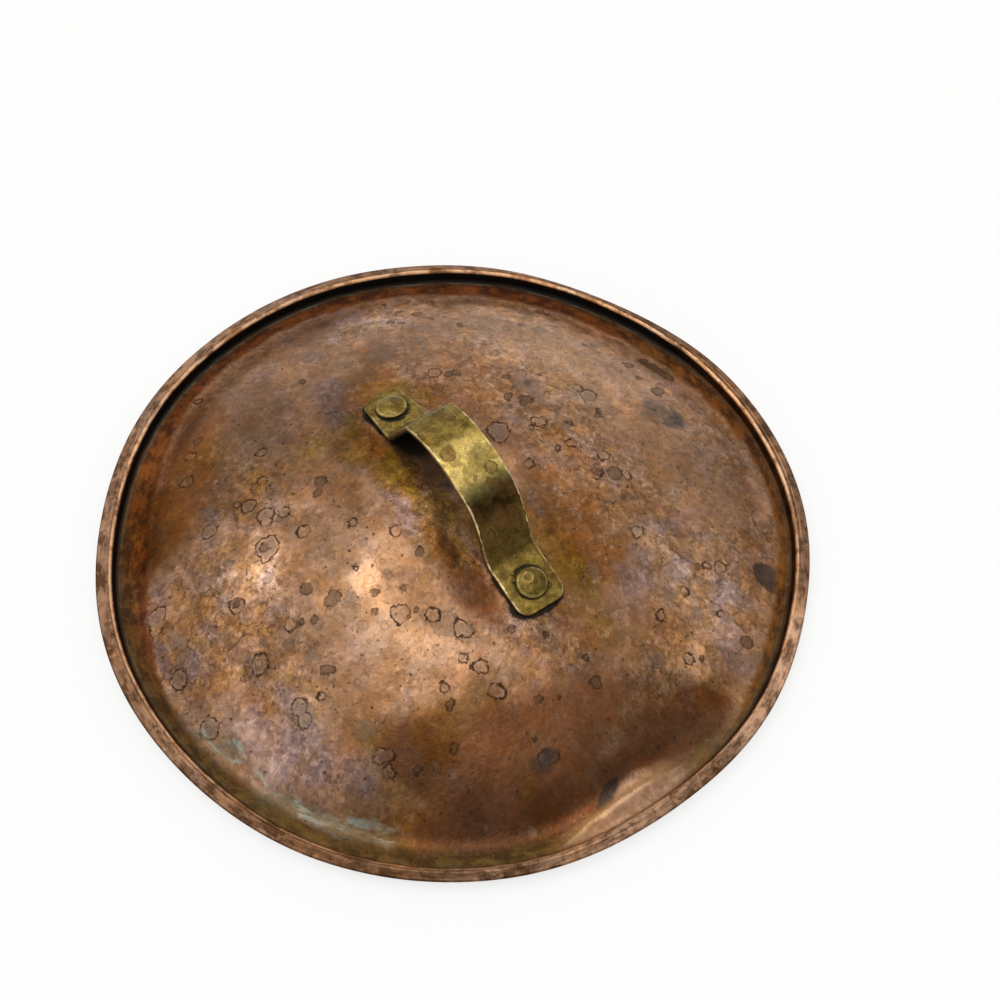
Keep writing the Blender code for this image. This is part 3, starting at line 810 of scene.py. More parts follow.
def finish_material(g, shader, color, metallic, rough, height, strength, depth):
    """Connects colour, metal, roughness and bump to the shader."""
    bump = g.node("ShaderNodeBump")
    for socket, value in ((shader.inputs["Base Color"], color), (shader.inputs["Metallic"], metallic),
                          (shader.inputs["Roughness"], rough), (bump.inputs["Strength"], strength),
                          (bump.inputs["Distance"], depth), (bump.inputs["Height"], height),
                          (shader.inputs["Normal"], bump.outputs["Normal"])):
        g.put(socket, value)


def new_material(name):
    material = bpy.data.materials.new(name)
    material.use_nodes = True
    return material, Graph(material), material.node_tree.nodes["Principled BSDF"]


# Water spots with dark outlines: x, y, radius
RINGED = [
    (-54, -41, 1.6), (-98, -42.5, 1.2), (-20, -59, 3.7), (-17.4, -60.6, 2.2), (-16, -47.5, 2.2),
    (-30.5, -53, 2.8), (-28.6, -54, 2), (-38, -55.5, 2.5), (-41.5, -57.5, 1.2), (-74.5, -58, 2.1),
    (-43, -47, 1.7), (-27, -48, 2), (-40, -69.5, 2.5), (-8, -33.5, 1.3), (-10, -76.5, 2.4),
    (-28.5, -97.5, 3.2), (-25, -99.5, 2.2), (-5, -102.5, 2.8), (5.7, -41.5, 1),
    (27, -38.5, 2.8), (53.5, -27, 2), (55, -26, 1.7), (49, -29.7, 1.5), (62.3, -26.5, 2.3),
    (63.6, -25.4, 1.6), (52.8, -39, 1.6), (31.8, -71, 1.2), (7, -67, 2.1), (11, -81, 3.1),
    (57.5, -66, 2.2), (58.6, -64, 1.9), (62.5, -66.5, 1.8), (15, -103, 3.3), (3, -24.5, 2.1),
    (41, -25, 2.6), (43, -24, 2), (33, -30.3, 2.1), (30, -78.2, 2.6), (34.4, -78.8, 2.4),
    (-11, 25.3, 3.6), (-9, 24.6, 2.8), (-7.5, 40, 2.2), (-8.8, 39.2, 1.6), (-7, 36, 1.3),
    (4.8, 44, 1.8), (4.5, 39, 1.1), (13.5, 51, 2), (23, 53.8, 1.8), (19, 44.5, 1.5),
    (42.3, 43.8, 2.1), (62.8, 64, 2.1), (63.6, 62.4, 1.4), (61, 59.5, 1.2), (65.7, 46.3, 1.4),
    (68.7, 33.3, 1.6), (76.3, 53.8, 1.3), (-11.5, 63.5, 2.9), (-16, 62.5, 1.6), (5.5, 25.5, 1.6),
    (-45.5, 23, 2.6), (83.8, 34.2, 1.9), (-65, -64.5, 2),
]
# Dark filled spots
DARK = [
    (-78.5, -53, 1.6), (1.2, -57, 1.9), (9.5, -52.3, 2.6), (8.3, -51.4, 1.6), (-20.5, -60, 1.3),
    (21.5, -44, 1), (20.5, -33.2, 1), (28.7, -33.5, 1), (16.5, -41, 1.2), (58, -40.5, 1.4),
    (71.5, -16.7, 1.2), (86, -24, 2.5), (86.4, -22, 2), (26.2, -65.8, 1.4), (27.6, -64.6, 1.2),
    (67, -59, 1.2), (68.5, -46.5, 1.3), (13.5, -22, 1.4), (11, -60.5, 1.1), (9, -63.7, 1.1),
    (-22.8, 99, 1.9), (-19.6, 100.4, 2.5), (-16.4, 101.4, 2.6), (-13.2, 102.6, 2.2), (-6, 91.3, 2),
    (-6.5, 93.3, 1.8), (-21.5, 90.5, 1.5), (-14, 89.5, 1.1), (-36.5, 82, 1), (-62.5, 81.8, 1.7),
    (-60, 83, 1.1), (-56, 67.5, 1.3), (-2, 61, 1.1), (-4, 62.5, 0.8), (-3, 49, 1.2),
    (-18, 42.5, 1.9), (-17.4, 41, 1.5), (-22.5, 37.5, 1.7), (-41, 29.5, 1.6), (-42, 27, 1.3),
    (-81.5, 39.5, 1.7), (-87, 35.5, 1.2), (-79.5, 31.2, 1), (-82, 28.5, 1.2), (-65.5, 47, 1.1),
    (-75.5, 41.5, 1), (-73, -13.5, 1.2), (-10.6, -76.3, 1.1), (-51, -87, 1.5), (60, 56.5, 1),
    (85.3, 39.3, 0.8), (76, 2, 1.7), (68.5, 3.5, 1.1), (-28, -33.5, 2.2), (-25.6, -36, 1.5),
    (18.4, 45.4, 1.4), (21, 50, 2.4), (50, -11.8, 1), (56.6, -4.2, 0.8), (-27, 54, 0.7),
    (87, 58, 2.2), (-31, 43, 1.2), (-97.3, 35, 0.8), (74, -10.6, 0.5), (80, -23.7, 0.5),
]
# Faint grey patches without an outline
FAINT = [
    (-83.5, -1.5, 2.2), (-83, -5.5, 2.4), (-62, -53, 2.2), (-53, -31, 2.4), (-7, -98, 4),
    (38, -28, 4.4), (33, -78, 4), (-25, 46.5, 4.6), (-21, 48, 3.4), (-67, 15, 5),
    (-92, 33, 3), (-64, 75.5, 2.4), (-50, 72, 2.2), (21, 48.5, 3.4), (19.5, 54, 2),
    (93, 56.3, 2.8), (90, 50, 2.6), (79.5, 24.5, 2.6), (73, 46.8, 1.8), (32, 73, 1.9),
    (64, 41, 2.2), (14, -34, 1.8), (13.5, -47.5, 1.8), (48.5, -65.5, 3.4), (58, -91, 2.2),
    (-46.5, -66.5, 3.4), (-36, 88, 2.8), (-11.5, 63.5, 3), (-59.5, 53, 1.7), (70, -53.5, 1.5),
    (-20, -59, 3.4), (-14, -96, 2.6), (84, 48, 2.2), (-3.5, -45.5, 1.6), (20, -67, 2.2),
    (-11, 25, 3.4), (86, -24, 2.8), (15, -103, 3), (41, -25, 2.8), (47, 22, 2.4),
]


def spot_field(g, coords, spots):
    """Distance to the nearest spot's outline in millimetres, below 0 inside a spot."""
    field = None
    for x, y, radius in spots:
        away = g.vec("DISTANCE", coords, (x, y, 0))
        gap = g.sub(away, radius)
        field = gap if field is None else g.math("MINIMUM", field, gap)
    return field


def droplets(g, coords, size, low, high, seed):
    """Scattered round marks: (inside, outline) masks and a random value for each."""
    moved = g.vadd(coords, (seed * 13, seed * 7, 0))
    n = g.node("ShaderNodeTexVoronoi", feature='F1', voronoi_dimensions='2D')
    g.put(n.inputs["Vector"], moved)
    g.put(n.inputs["Scale"], 1 / size)
    g.put(n.inputs["Randomness"], 0.95)
    parts = g.node("ShaderNodeSeparateColor")
    g.put(parts.inputs[0], n.outputs["Color"])
    radius = g.ramp(parts.outputs[0], 0, 1, low, high, 'LINEAR')
    gap = g.sub(n.outputs["Distance"], radius)
    shown = g.ramp(parts.outputs[1], 0.45, 0.65)
    inside = g.mul(g.ramp(gap, 0.04, -0.04), shown)
    outline = g.mul(g.ramp(g.abs(gap), 0.09, 0.02), shown)
    return inside, outline, parts.outputs[2]


def stains(g, color, coords, scale, low, high, target, gain, seed):
    """Islands of one colour with crisp, ragged edges."""
    moved = g.vadd(coords, (seed * 17.3, -seed * 9.1, seed * 3))
    mask = g.ramp(g.noise(moved, scale, 5, 0.62), low, high)
    return g.mix(g.mul(mask, gain), color, target)


def flakes(g, color, coords, scale, gains, share, seed):
    """Terraced patches with crisp, ragged edges, some outlined in brown, and their height."""
    moved = g.vadd(coords, (seed * 23.1, seed * 4.7, seed * 9.9))
    value = g.noise(moved, scale, 3, 0.55)
    steps = None
    for level in (0.43, 0.475, 0.52, 0.565):
        step = g.ramp(value, level - 0.004, level + 0.004)
        steps = step if steps is None else g.add(steps, step)
    change = g.mul(g.fma(steps, 0.5, -1), share)
    factor = g.vadd(g.scale(gains, change), (1, 1, 1))
    color = g.vmul(color, factor)
    line = g.ramp(g.abs(g.sub(value, 0.475)), 0.028, 0.006)
    line = g.mul(line, g.ramp(g.noise(moved, scale * 1.7, 1), 0.52, 0.6))
    color = g.mix(g.mul(line, g.mul(share, 0.52)), color, (0.085, 0.044, 0.026))
    return color, change


def tint(g, color, coords, scale, detail, gains, seed, rough=0.92):
    """Multiplies the colour by 1 + gain * noise in each channel."""
    moved = g.vadd(coords, (seed * 11.7, seed * 5.3, -seed * 7.9))
    value = g.sub(g.noise(moved, scale, detail, rough), 0.5)
    factor = g.vadd(g.scale(gains, value), (1, 1, 1))
    return g.vmul(color, factor)


def along_ring(g, coords, around, across):
    """Coordinates for streaks along the rim: units per radian round it, and per millimetre across."""
    depth = g.node("ShaderNodeCombineXYZ")
    g.put(depth.inputs[2], g.mul(g.painted("reach"), across))
    return g.vadd(g.scale(g.vec("NORMALIZE", coords), around), depth.outputs[0])


def torn_mask(g, mask, breaker, ragged, low, high, start):
    """A painted mask with ragged edges, and nothing where the mask is zero."""
    torn = g.fma(breaker, ragged, g.sub(mask, 0.5 * ragged))
    return g.mul(g.ramp(torn, low, high), g.ramp(mask, 0, start))


def tarnish(g, flat, curved, bent, mottle, grain):
    """Ground colour of the copper's top with its stained regions, a painted highlight and painted shade."""
    cloud = g.fma(g.noise(flat, 0.035, 5, 0.6), 0.5, g.mul(mottle, 0.5))
    color = g.mix(g.ramp(cloud, 0.42, 0.58), (0.27, 0.14, 0.075), (0.36, 0.205, 0.125))
    color = stains(g, color, bent, 0.1, 0.48, 0.56, (0.31, 0.165, 0.07), 0.4, 1)
    color = stains(g, color, bent, 0.16, 0.53, 0.58, (0.26, 0.17, 0.125), 0.45, 2)
    color = stains(g, color, bent, 0.22, 0.55, 0.6, (0.2, 0.105, 0.045), 0.45, 3)
    violet = g.mix(g.ramp(grain, 0.42, 0.6), (0.188, 0.116, 0.105), (0.308, 0.198, 0.172))
    # Two of these layers are painted: the paler one a painted highlight, the last one painted shade with a
    # painted dark reflection
    for name, target, gain, ragged in (("violet", violet, 0.85, 1.4),
                                       ("warm", (0.23, 0.092, 0.026), 0.9, 1.2),
                                       ("olive", (0.2, 0.125, 0.024), 0.8, 1.4),
                                       ("pale_sheen", (0.5, 0.3, 0.185), 0.65, 1.2),
                                       ("shade", (0.158, 0.056, 0.021), 0.85, 0.9)):
        shown = torn_mask(g, g.painted(name), mottle, ragged, 0.1, 0.85, 0.15)
        color = g.mix(g.mul(shown, gain), color, target)
    clear = g.fma(shown, -0.36, 0.4)
    color = stains(g, color, bent, 0.3, 0.56, 0.61, (0.44, 0.275, 0.175), clear, 4)
    color = stains(g, color, bent, 0.45, 0.57, 0.62, (0.15, 0.075, 0.035), 0.4, 5)

    inside, outline, pick = droplets(g, curved, 5.2, 0.1, 0.34, 1)
    color = g.mix(g.mul(inside, g.ramp(pick, 0.5, 1, 0.1, 0.5)), color, (0.22, 0.145, 0.1))
    color = g.mix(g.mul(outline, 0.35), color, (0.13, 0.07, 0.04))
    inside, outline, pick = droplets(g, curved, 2.6, 0.08, 0.36, 3)
    color = g.mix(g.mul(inside, g.ramp(pick, 0.4, 1, 0, 0.45)), color, (0.19, 0.105, 0.055))
    fleck = g.mul(inside, g.mul(clear, g.ramp(pick, 0.6, 0)))
    color = g.mix(fleck, color, (0.5, 0.32, 0.21))
    inside, outline, pick = droplets(g, curved, 3, 0.02, 0.17, 6)
    color = g.mix(g.mul(inside, g.ramp(pick, 0.3, 0.9, 0.25, 0.85)), color, (0.07, 0.036, 0.02))
    return color, shown


def water_spots(g, color, flat, bent):
    """The placed spots: faint patches, ringed spots and dark ones."""
    ragged = g.wander(flat, 0.42, 1)
    torn = g.vmul(g.vadd(bent, g.scale(ragged, 1.6)), (1, 1, 0))
    tattered = g.vmul(g.vadd(bent, g.scale(ragged, 5)), (1, 1, 0))
    width = g.fma(g.noise(flat, 0.3, 2, 0.6), -1.8, 0.92)

    def outline(field, low, high):
        """Line of uneven width round the spots of a field."""
        gap = g.abs(field)
        return g.mul(g.ramp(g.add(gap, width), 0.5, 0.05, low, high), g.ramp(gap, 0.6, 0.2))

    faint = spot_field(g, tattered, FAINT)
    color = g.mix(g.ramp(faint, 0.5, -0.4, 0, 0.55), color, (0.185, 0.125, 0.092))
    edge = g.ramp(g.add(g.abs(faint), width), 0.35, 0, 0, 0.45)
    color = g.mix(edge, color, (0.07, 0.036, 0.022))
    ringed = spot_field(g, torn, RINGED)
    fill = g.ramp(g.noise(flat, 0.11, 1), 0.42, 0.6, 0.2, 0.6)
    color = g.mix(g.mul(g.ramp(ringed, 0.1, -0.4), fill), color, (0.2, 0.125, 0.088))
    glint = g.ramp(g.add(g.abs(g.add(ringed, 0.85)), width), 0.35, 0, 0, 0.4)
    color = g.mix(glint, color, (0.46, 0.29, 0.19))
    ring = outline(ringed, 0.15, 0.92)
    color = g.mix(ring, color, (0.042, 0.019, 0.01))
    dark = spot_field(g, torn, DARK)
    color = g.mix(g.ramp(dark, 0.35, -0.35, 0, 0.7), color, (0.105, 0.06, 0.038))
    return g.mix(outline(dark, 0.15, 0.75), color, (0.035, 0.016, 0.009)), ring


def patina(g, flat, curved, bent, mottle):
    """Colour of the copper's top: tarnish, flaking, water spots, smudges with painted shade in the fold,
    bloom and pits.
    """
    grain = g.noise(curved, 0.42, 3, 0.6)
    color, shade = tarnish(g, flat, curved, bent, mottle, grain)
    share = g.fma(g.painted("flaky"), 1, 0.4)
    relief = 0
    for scale, gains, weight, seed in ((0.09, (0.1, 0.13, 0.2), 1, 1),
                                       (0.26, (0.15, 0.16, 0.18), 0.8, 2),
                                       (0.6, (0.13, 0.14, 0.16), 0.5, 3),
                                       (0.16, (-0.03, 0.02, 0.17), 0, 4)):
        color, change = flakes(g, color, curved, scale, gains, share, seed)
        relief = g.fma(change, weight, relief)
    color, ring = water_spots(g, color, flat, bent)
    # Dark smudges, and painted shade in the fold at the right
    smudge_and_shade = torn_mask(g, g.painted("smudge_and_shade"), mottle, 1.6, 0.1, 0.7, 0.2)
    color = g.mix(g.mul(smudge_and_shade, 0.9), color, (0.046, 0.038, 0.034))
    streak = g.noise(along_ring(g, curved, 10, 0.34), 1, 4, 0.6)
    bloom = g.mul(torn_mask(g, g.painted("green"), streak, 2.2, 0.15, 0.95, 0.2), 0.72)
    teal = g.mix(g.ramp(streak, 0.46, 0.62), (0.165, 0.16, 0.112), (0.345, 0.395, 0.36))
    color = g.mix(bloom, color, teal)
    pits = g.ramp(g.noise(flat, 0.75, 1, 0.4), 0.725, 0.765)
    return g.mix(g.mul(pits, 0.85), color, (0.035, 0.016, 0.008)), shade, ring, pits, relief


def rim_line(g, plain, radius, outer, inner, fade):
    """Thin, broken line along one ring of the profile."""
    return g.mul(g.ramp(g.abs(g.sub(plain, radius)), outer, inner), fade)


def channel_colors(g, color, plain, blend, mottle):
    """Rust-brown and olive channel at the dome's foot."""
    reach = g.fma(g.sub(mottle, 0.5), 5, plain)
    both = g.ramp(blend, 0.42, 0.58)
    dull = g.mix(both, (0.032, 0.007, 0.003), (0.12, 0.028, 0.005))
    rust = g.mix(both, (0.07, 0.021, 0.004), (0.23, 0.086, 0.015))
    rust = g.mix(g.painted("rust_light"), dull, rust)
    past = g.sub(reach, g.painted("rust_from"))
    color = g.mix(g.ramp(past, -1.6, 1, 0, 0.96), color, rust)
    olive = g.mul(g.ramp(reach, 105.5, 111), g.painted("channel_olive"))
    return g.mix(olive, color, g.mix(both, (0.048, 0.026, 0.007), (0.112, 0.064, 0.017)))


def wall_foot_shade(g, color, plain, mottle):
    """Painted black shade at the wall's foot, with a broken line of painted sheen in it."""
    gain = g.painted("black_gain")
    past = g.sub(g.fma(mottle, 1.6, g.sub(plain, 0.8)), g.painted("black_from"))
    # Painted shade: a dark haze, then black towards the wall
    haze = g.mul(g.ramp(past, -2.4, -0.2, 0, 0.75), gain)
    color = g.mix(haze, color, (0.04, 0.03, 0.018))
    black = g.mul(g.ramp(past, -0.6, 0.6), gain)
    color = g.mix(black, color, (0.01, 0.01, 0.01))
    # Broken line of painted sheen at the wall's foot
    pale_sheen = rim_line(g, plain, WALL_FOOT, 0.6, 0.05, g.ramp(mottle, 0.42, 0.6, 0.1, 0.55))
    return g.mix(g.mul(pale_sheen, gain), color, (0.12, 0.125, 0.095)), black


def flange_colors(g, color, plain, bent, blend):
    """Mottled flange outside the ridge."""
    both = g.ramp(blend, 0.4, 0.58)
    flange = g.mix(both, (0.058, 0.026, 0.011), (0.19, 0.095, 0.045))
    fair = g.mix(both, (0.2, 0.105, 0.058), (0.74, 0.49, 0.35))
    flange = g.mix(g.painted("flange_light"), flange, fair)
    flange = stains(g, flange, bent, 0.22, 0.58, 0.62, (0.06, 0.03, 0.016), 0.35, 7)
    flange = stains(g, flange, bent, 0.22, 0.57, 0.61, (0.5, 0.3, 0.185), 0.35, 9)
    return g.mix(g.ramp(plain, RIDGE_X - 0.15, RIDGE_X + 0.1), color, flange)


def rim_colors(g, color, flat, bent, mottle):
    """Rust-brown channel, painted black shade at the wall's foot, mottled flange, a painted highlight along
    the ridge on worn copper, and the lines beside it: a second painted highlight and a dark seam.
    """
    plain = g.painted("reach")
    streak = g.noise(along_ring(g, flat, 22, 0.55), 1, 4, 0.65)
    blend = g.fma(streak, 0.45, g.mul(mottle, 0.55))
    color = channel_colors(g, color, plain, blend, mottle)
    color, black = wall_foot_shade(g, color, plain, mottle)
    color = flange_colors(g, color, plain, bent, blend)

    # Painted highlight along the ridge's crest, on worn copper
    crest = rim_line(g, plain, CREST, 0.62, 0.2, g.ramp(blend, 0.36, 0.5, 0.4, 0.98))
    crest = g.mul(crest, g.painted("crest_gain"))
    shiny = g.mix(g.ramp(streak, 0.4, 0.56), (0.58, 0.31, 0.155), (0.98, 0.65, 0.42))
    color = g.mix(crest, color, shiny)
    # Second painted highlight line outside the ridge
    second = rim_line(g, plain, SECOND_LINE, 0.45, 0.1, g.ramp(mottle, 0.4, 0.56, 0.2, 0.8))
    color = g.mix(g.mul(second, g.painted("second_line")), color, (0.6, 0.36, 0.21))
    seam = rim_line(g, plain, SEAM, 0.3, 0.05, g.ramp(mottle, 0.42, 0.58, 0.1, 0.45))
    return g.mix(seam, color, (0.06, 0.034, 0.018)), black, crest


# Painted shadow round the strap's two pads: middle, half sizes and corner radius
PAD_OUTLINES = [
    ((-37.6, 0.4, 0), (7.4, 7.4), FAR_CORNER),
    ((41.2, 0.4, 0), (9.2, 8.7), NEAR_CORNER),
]


def pad_shadow(g, color, flat, mottle):
    """Painted black shadow along the outlines of the strap's two pads."""
    for centre, half, corner in PAD_OUTLINES:
        away = g.vec("ABSOLUTE", g.vsub(flat, centre))
        inner = (half[0] - corner, half[1] - corner, 0)
        past = g.vec("MAXIMUM", g.vsub(away, inner), (0, 0, 0))
        gap = g.sub(g.vec("LENGTH", past), corner)
        gap = g.add(gap, g.fma(mottle, 5, -2.5))
        color = g.mix(g.ramp(gap, 1.5, 0.3, 0, 0.95), color, (0.012, 0.01, 0.007))
    return color


def crease(g, color, coords, mottle):
    """The bent-up fold at the right: painted highlight along its edge, a pinkish facet outside lit with
    painted light, gold band inside.
    """
    x, y = g.split(coords)[:2]
    line = g.fma(g.mul(y, FOLD_BOW), y, FOLD_X)
    gap = g.sub(x, line)
    part = g.mul(g.ramp(y, -42, -34), g.ramp(y, 20, 6))
    facet = g.mul(g.mul(g.ramp(gap, -0.2, 0.5), part), 0.85)
    pinkish = g.mix(g.ramp(mottle, 0.4, 0.6), (0.4, 0.23, 0.15), (0.62, 0.405, 0.29))
    color = g.mix(facet, color, pinkish)
    gold = g.mul(g.mul(g.ramp(gap, -4, -0.6), g.ramp(gap, 0.3, -0.3)), part)
    color = g.mix(g.mul(gold, 0.75), color, (0.34, 0.19, 0.09))
    edge = g.mul(g.ramp(g.abs(gap), 1, 0.1), g.ramp(y, 10, -6))
    edge = g.mul(edge, g.mul(part, g.ramp(mottle, 0.38, 0.58, 0.25, 0.85)))
    return g.mix(edge, color, (0.76, 0.53, 0.36))


def tones(g, color, flat, mottle):
    """Painted shade and painted light, the hue, a painted shadow round the pads, and a fine cloudiness over
    all.
    """
    color = g.scale(color, g.fma(g.painted("dim"), -0.5, 1))
    color = g.scale(color, g.fma(g.painted("lift"), 0.6, 1))
    color = pad_shadow(g, color, flat, mottle)
    amber = g.ramp(g.fma(mottle, 0.8, g.sub(g.painted("amber"), 0.4)), 0.1, 0.8)
    color = g.mix(amber, color, g.vmul(color, (1.06, 0.95, 0.42)))
    rosy = g.ramp(g.painted("rosy"), 0, 1)
    color = g.mix(rosy, color, g.vmul(color, (1.06, 1.14, 1.22)))
    color = tint(g, color, flat, 0.07, 8, (1.35, 1.27, 1.2), 1)
    color = tint(g, color, flat, 0.05, 4, (0.3, -0.18, -0.9), 2, 0.75)
    return g.vmul(color, (1.065, 1.008, 0.925))


def tinned_inside(g, color, bent, mottle):
    """Grey tin on the lid's inner face."""
    tin = g.mix(g.ramp(mottle, 0.4, 0.62), (0.33, 0.315, 0.29), (0.5, 0.485, 0.455))
    tin = stains(g, tin, bent, 0.12, 0.55, 0.64, (0.3, 0.22, 0.16), 0.55, 8)
    return g.mix(g.painted("inner"), color, tin)


def copper_material():
    """Tarnished copper on top, tinned copper inside."""
    material, g, shader = new_material("copper")
    coords = g.scale(g.node("ShaderNodeTexCoord").outputs["Object"], 1 / MM)
    flat = g.vmul(coords, (1, 1, 0))
    wide = g.wander(flat, 0.2, 2)
    fine = g.wander(flat, 0.9, 3, 0.7)
    curved = g.vadd(flat, g.scale(wide, 2.4))
    bent = g.vadd(curved, g.scale(fine, 2.6))
    bent = g.vmul(bent, (1, 1, 0))
    mottle = g.noise(bent, 0.13, 6, 0.62)

    color, shade, ring, pits, relief = patina(g, flat, curved, bent, mottle)
    color = crease(g, color, g.vadd(flat, g.scale(wide, 0.9)), mottle)
    color, black, crest = rim_colors(g, color, flat, bent, mottle)
    # Painted shadow under the strap
    darkened = torn_mask(g, g.painted("darkening"), mottle, 0.6, 0.08, 0.75, 0.1)
    color = g.mix(darkened, color, (0.03, 0.02, 0.014))
    color = tones(g, color, flat, mottle)
    color = tinned_inside(g, color, bent, mottle)

    rough = g.fma(mottle, 0.3, 0.24)
    for mark, change in ((ring, 0.15), (shade, -0.06), (crest, -0.1), (black, 0.25)):
        rough = g.fma(mark, change, rough)
    rough = g.fma(darkened, 0.3, rough, clamp=True)
    height = g.fma(mottle, 0.5, g.noise(flat, 0.55, 4, 0.6))
    for mark, change in ((ring, -0.15), (relief, 0.07), (pits, -0.4)):
        height = g.fma(mark, change, height)
    finish_material(g, shader, color, 0.93, rough, height, 0.4, 0.0004)
    return material


# Stains on the brass strap: x, y, radius
STRAP_STAINS = [
    (2.2, -4, 2.6), (17.8, 3.8, 2.2), (16.6, 2.6, 1.8), (13, -1, 0.8), (12.4, 5.3, 2),
    (-9, 5, 1.2), (27.8, -5.2, 1.6), (26.8, -4, 1.2), (22, -7, 2.4), (26, 5.5, 2.2),
    (24.5, 0.5, 2.6), (20.5, 7.5, 2), (36, -5.5, 0.9), (45.8, 5.2, 0.9), (-34.7, -8, 0.8),
]


def strap_light_and_wear(g, color, bent, mottle):
    """The strap's painted highlight on the crown, painted shade on the riser, stains and worn edges."""
    along = g.split(bent)[0]
    flat = g.vmul(bent, (1, 1, 0))
    # Painted highlight on the crown, in bright patches
    crown = g.mul(g.ramp(along, -4, 4), g.ramp(along, 17, 11))
    crown = g.mul(crown, g.ramp(g.noise(bent, 0.16, 4, 0.6), 0.4, 0.52, 0.3, 1))
    color = g.mix(g.mul(crown, 0.9), color, (0.74, 0.54, 0.165))
    # Painted shade on the riser, deepest just below the crown
    riser = g.mul(g.ramp(along, 14.5, 18), g.ramp(along, 36, 28))
    color = g.mix(g.mul(riser, 0.8), color, (0.1, 0.056, 0.01))
    deep = g.mul(g.ramp(along, 14.5, 18), g.ramp(along, 27, 21))
    deep = g.mul(deep, g.ramp(mottle, 0.42, 0.56, 0.95, 0.55))
    color = g.mix(deep, color, (0.034, 0.016, 0.004))
    greenish = g.mul(g.ramp(along, 12.5, 15), g.ramp(along, 20, 16.5))
    color = g.mix(g.mul(greenish, 0.6), color, (0.2, 0.165, 0.055))
    marks = spot_field(g, flat, STRAP_STAINS)
    color = g.mix(g.ramp(marks, 0.2, -0.2, 0, 0.62), color, (0.12, 0.056, 0.016))
    ring = g.ramp(g.abs(marks), 0.4, 0.08, 0, 0.7)
    ring = g.mul(ring, g.ramp(mottle, 0.42, 0.56, 0.15, 1))
    color = g.mix(ring, color, (0.045, 0.022, 0.008))
    edge = g.add(g.painted("edge_gap"), g.fma(mottle, -2.4, 1.2))
    worn = g.mul(g.ramp(edge, 0.6, 0.1), g.painted("edge_gain"))
    return g.mix(g.mul(worn, 0.9), color, (0.78, 0.63, 0.33)), worn


def brass_material(name, strap, tone=1):
    """Aged brass: the strap's, with a painted highlight on the crown, or a rivet's in one tone with a
    painted highlight on its edge.
    """
    material, g, shader = new_material(name)
    coords = g.scale(g.node("ShaderNodeTexCoord").outputs["Object"], 1 / MM)
    fine = g.wander(coords, 0.7, 3, 0.7)
    bent = g.vadd(coords, g.scale(fine, 2.4))
    mottle = g.noise(bent, 0.22, 6, 0.66)
    color = g.mix(g.ramp(mottle, 0.4, 0.6), (0.15, 0.094, 0.016), (0.26, 0.18, 0.04))
    color = stains(g, color, bent, 0.35, 0.54, 0.62, (0.095, 0.052, 0.01), 0.6, 11)
    color = stains(g, color, bent, 0.55, 0.57, 0.63, (0.36, 0.27, 0.085), 0.5, 12)
    worn = 0
    if strap:
        color, worn = strap_light_and_wear(g, color, bent, mottle)
    # Darker round the rivet heads and towards the undersides
    darkening = g.painted("darkening")
    darkened = g.ramp(g.fma(mottle, 0.8, g.sub(darkening, 0.4)), 0.1, 0.6)
    color = g.mix(g.mul(darkened, g.ramp(darkening, 0, 0.1)), color, (0.022, 0.024, 0.014))
    if not strap:
        color = g.scale(color, tone)
        # Painted highlight on the head's edge and on the lip of its first dent
        shine = g.mul(g.painted("shine"), g.ramp(mottle, 0.42, 0.58, 0.25, 0.85))
        color = g.mix(shine, color, (0.48, 0.37, 0.14))
    color = tint(g, color, coords, 0.1, 7, (3.6, 3.6, 3.6) if strap else (2.4, 2.4, 2.4), 21)
    color = tint(g, color, coords, 0.15, 6, (0.4, -0.2, -2), 22)
    rough = g.fma(worn, -0.1, g.fma(mottle, 0.34, 0.2))
    rough = g.fma(darkened, 0.3, rough, clamp=True)
    height = g.fma(mottle, 0.8, g.noise(coords, 0.9, 4, 0.6))
    finish_material(g, shader, color, 0.92, rough, height, 0.35, 0.0003)
    return material


# The photograph's view, fitted to the rim's outline: place in metres, directions, lens in millimetres
CAMERA_PLACE = Vector((0.25107805, -0.17664067, 0.5106685))
CAMERA_FORWARD = Vector((-0.42333849, 0.33027258, -0.84362583))
CAMERA_RIGHT = Vector((0.57385798, 0.81831381, 0.03239641))
CAMERA_LENS = 63.0912


def build_camera():
    """The camera, turned so that it looks along CAMERA_FORWARD."""
    up = CAMERA_RIGHT.cross(CAMERA_FORWARD)
    data = bpy.data.cameras.new("camera")
    data.lens = CAMERA_LENS
    data.sensor_width = 36
    data.clip_end = 100
    obj = bpy.data.objects.new("camera", data)
    bpy.context.scene.collection.objects.link(obj)
    turn = Matrix((CAMERA_RIGHT, up, -CAMERA_FORWARD)).transposed().to_4x4()
    obj.matrix_world = Matrix.Translation(CAMERA_PLACE) @ turn
    bpy.context.scene.camera = obj


# Soft studio light as lobes of the sky: direction, sharpness, strength
AWAY = Vector((-0.788, 0.615, 0))
ASIDE = Vector((0.615, 0.788, 0))
SKY_BASE = 0.28
LOBES = [
    ((-0.26, 0.08), 18, 2.3),
    ((-0.4, -0.02), 9, 0.5),
    ((0.06, -0.16), 26, 1.1),
    ((-0.72, 0.2), 8, 0.7),
    ((0.8, 0.22), 8, 0.75),
    ((0.15, 0.97), 5, 0.8),
    ((-0.5, -0.85), 9, 0.9),
]


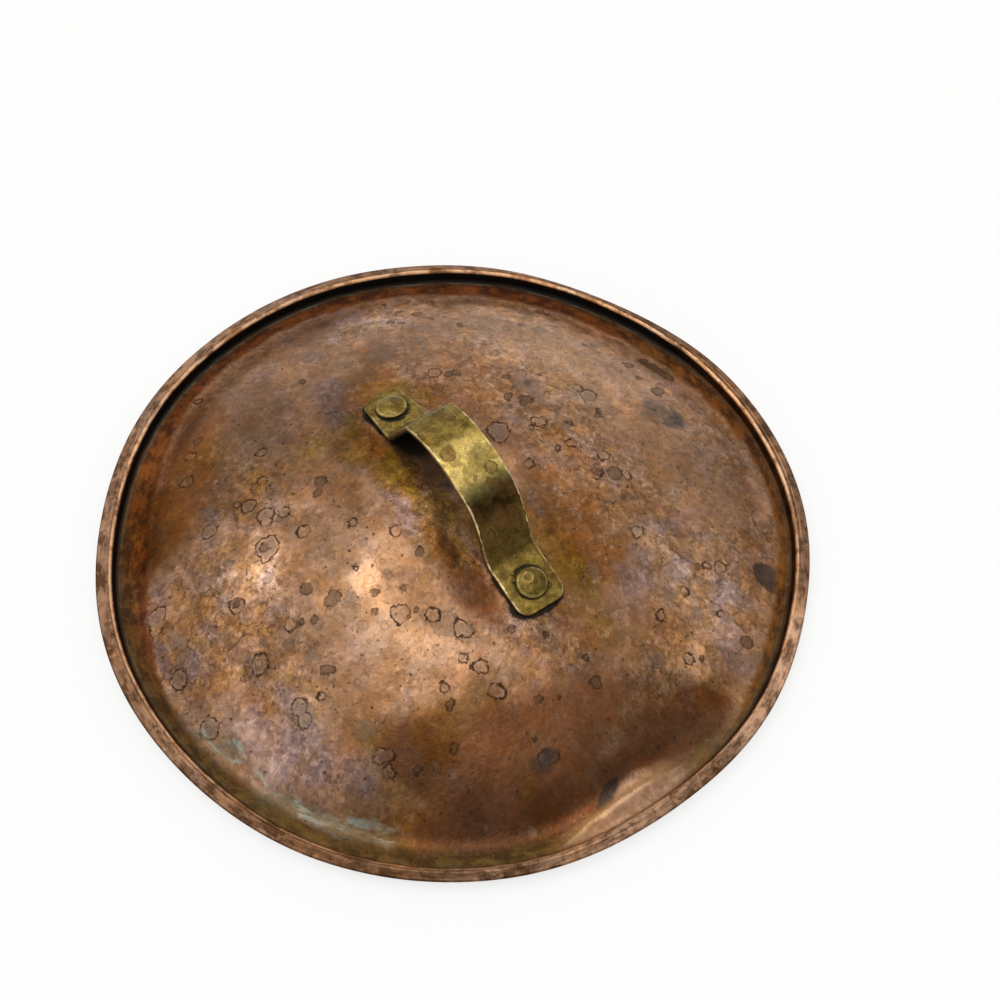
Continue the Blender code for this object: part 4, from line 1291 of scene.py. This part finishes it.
def build_world():
    """A sky of soft lobes of light."""
    world = bpy.data.worlds.new("studio")
    bpy.context.scene.world = world
    world.use_nodes = True
    g = Graph(world)
    coords = g.node("ShaderNodeTexCoord").outputs["Generated"]
    total = SKY_BASE
    for (side, away), sharp, strength in LOBES:
        flat = ASIDE * side + AWAY * away
        z = math.sqrt(max(1 - flat.length_squared, 0))
        direction = (flat.x, flat.y, z)
        dot = g.vec("DOT_PRODUCT", coords, direction)
        lobe = g.math("EXPONENT", g.fma(dot, sharp, -sharp))
        total = g.fma(lobe, strength, total)
    background = world.node_tree.nodes["Background"]
    g.put(background.inputs["Strength"], total)
    g.put(background.inputs["Color"], (1, 0.985, 0.96))


# The floor, in metres, a little under the resting ring
FLOOR_HALF_SIZE = 20
FLOOR_Z = -0.0002


def build_floor():
    """White floor that shows evenly bright, and still takes part in the light."""
    s = FLOOR_HALF_SIZE
    mesh = new_mesh("floor", [(-s, -s, 0), (s, -s, 0), (s, s, 0), (-s, s, 0)], [(0, 1, 2, 3)])
    obj = bpy.data.objects.new("floor", mesh)
    bpy.context.scene.collection.objects.link(obj)
    obj.location.z = FLOOR_Z
    material, g, shader = new_material("floor_white")
    g.put(shader.inputs["Base Color"], (0.95, 0.95, 0.95))
    g.put(shader.inputs["Roughness"], 0.9)
    g.put(shader.inputs["Specular IOR Level"], 0.1)
    path = g.node("ShaderNodeLightPath")
    seen = g.add(path.outputs["Is Camera Ray"], path.outputs["Is Glossy Ray"])
    seen = g.add(seen, path.outputs["Is Transmission Ray"], clamp=True)
    white = g.node("ShaderNodeEmission")
    g.put(white.inputs["Color"], (1, 1, 1))
    blend = g.node("ShaderNodeMixShader")
    g.put(blend.inputs[0], g.mul(seen, 0.75))
    g.put(blend.inputs[1], shader.outputs[0])
    g.put(blend.inputs[2], white.outputs[0])
    g.put(g.tree.nodes["Material Output"].inputs["Surface"], blend.outputs[0])
    mesh.materials.append(material)


copper = copper_material()
lid = new_piece("lid_body", lid_mesh(), "lid_sheet", copper)
paint_lid(lid.data)
new_piece("strap_body", strap_mesh(), "strap_handle",
          brass_material("strap_brass_aged", strap=True))
far_rivet = rivet_mesh("rivet_far_body", FAR_RIVET_X, height=FAR_HEAD, fullness=0, seed=5)
new_piece("rivet_far_body", far_rivet, "rivet_far",
          brass_material("rivet_brass_light", strap=False))
near_rivet = rivet_mesh("rivet_near_body", NEAR_RIVET_X, height=NEAR_HEAD, fullness=0.45, seed=9)
new_piece("rivet_near_body", near_rivet, "rivet_near",
          brass_material("rivet_brass_dark", strap=False, tone=0.7))
build_camera()
build_world()
build_floor()
bpy.context.scene.view_settings.view_transform = "Standard"
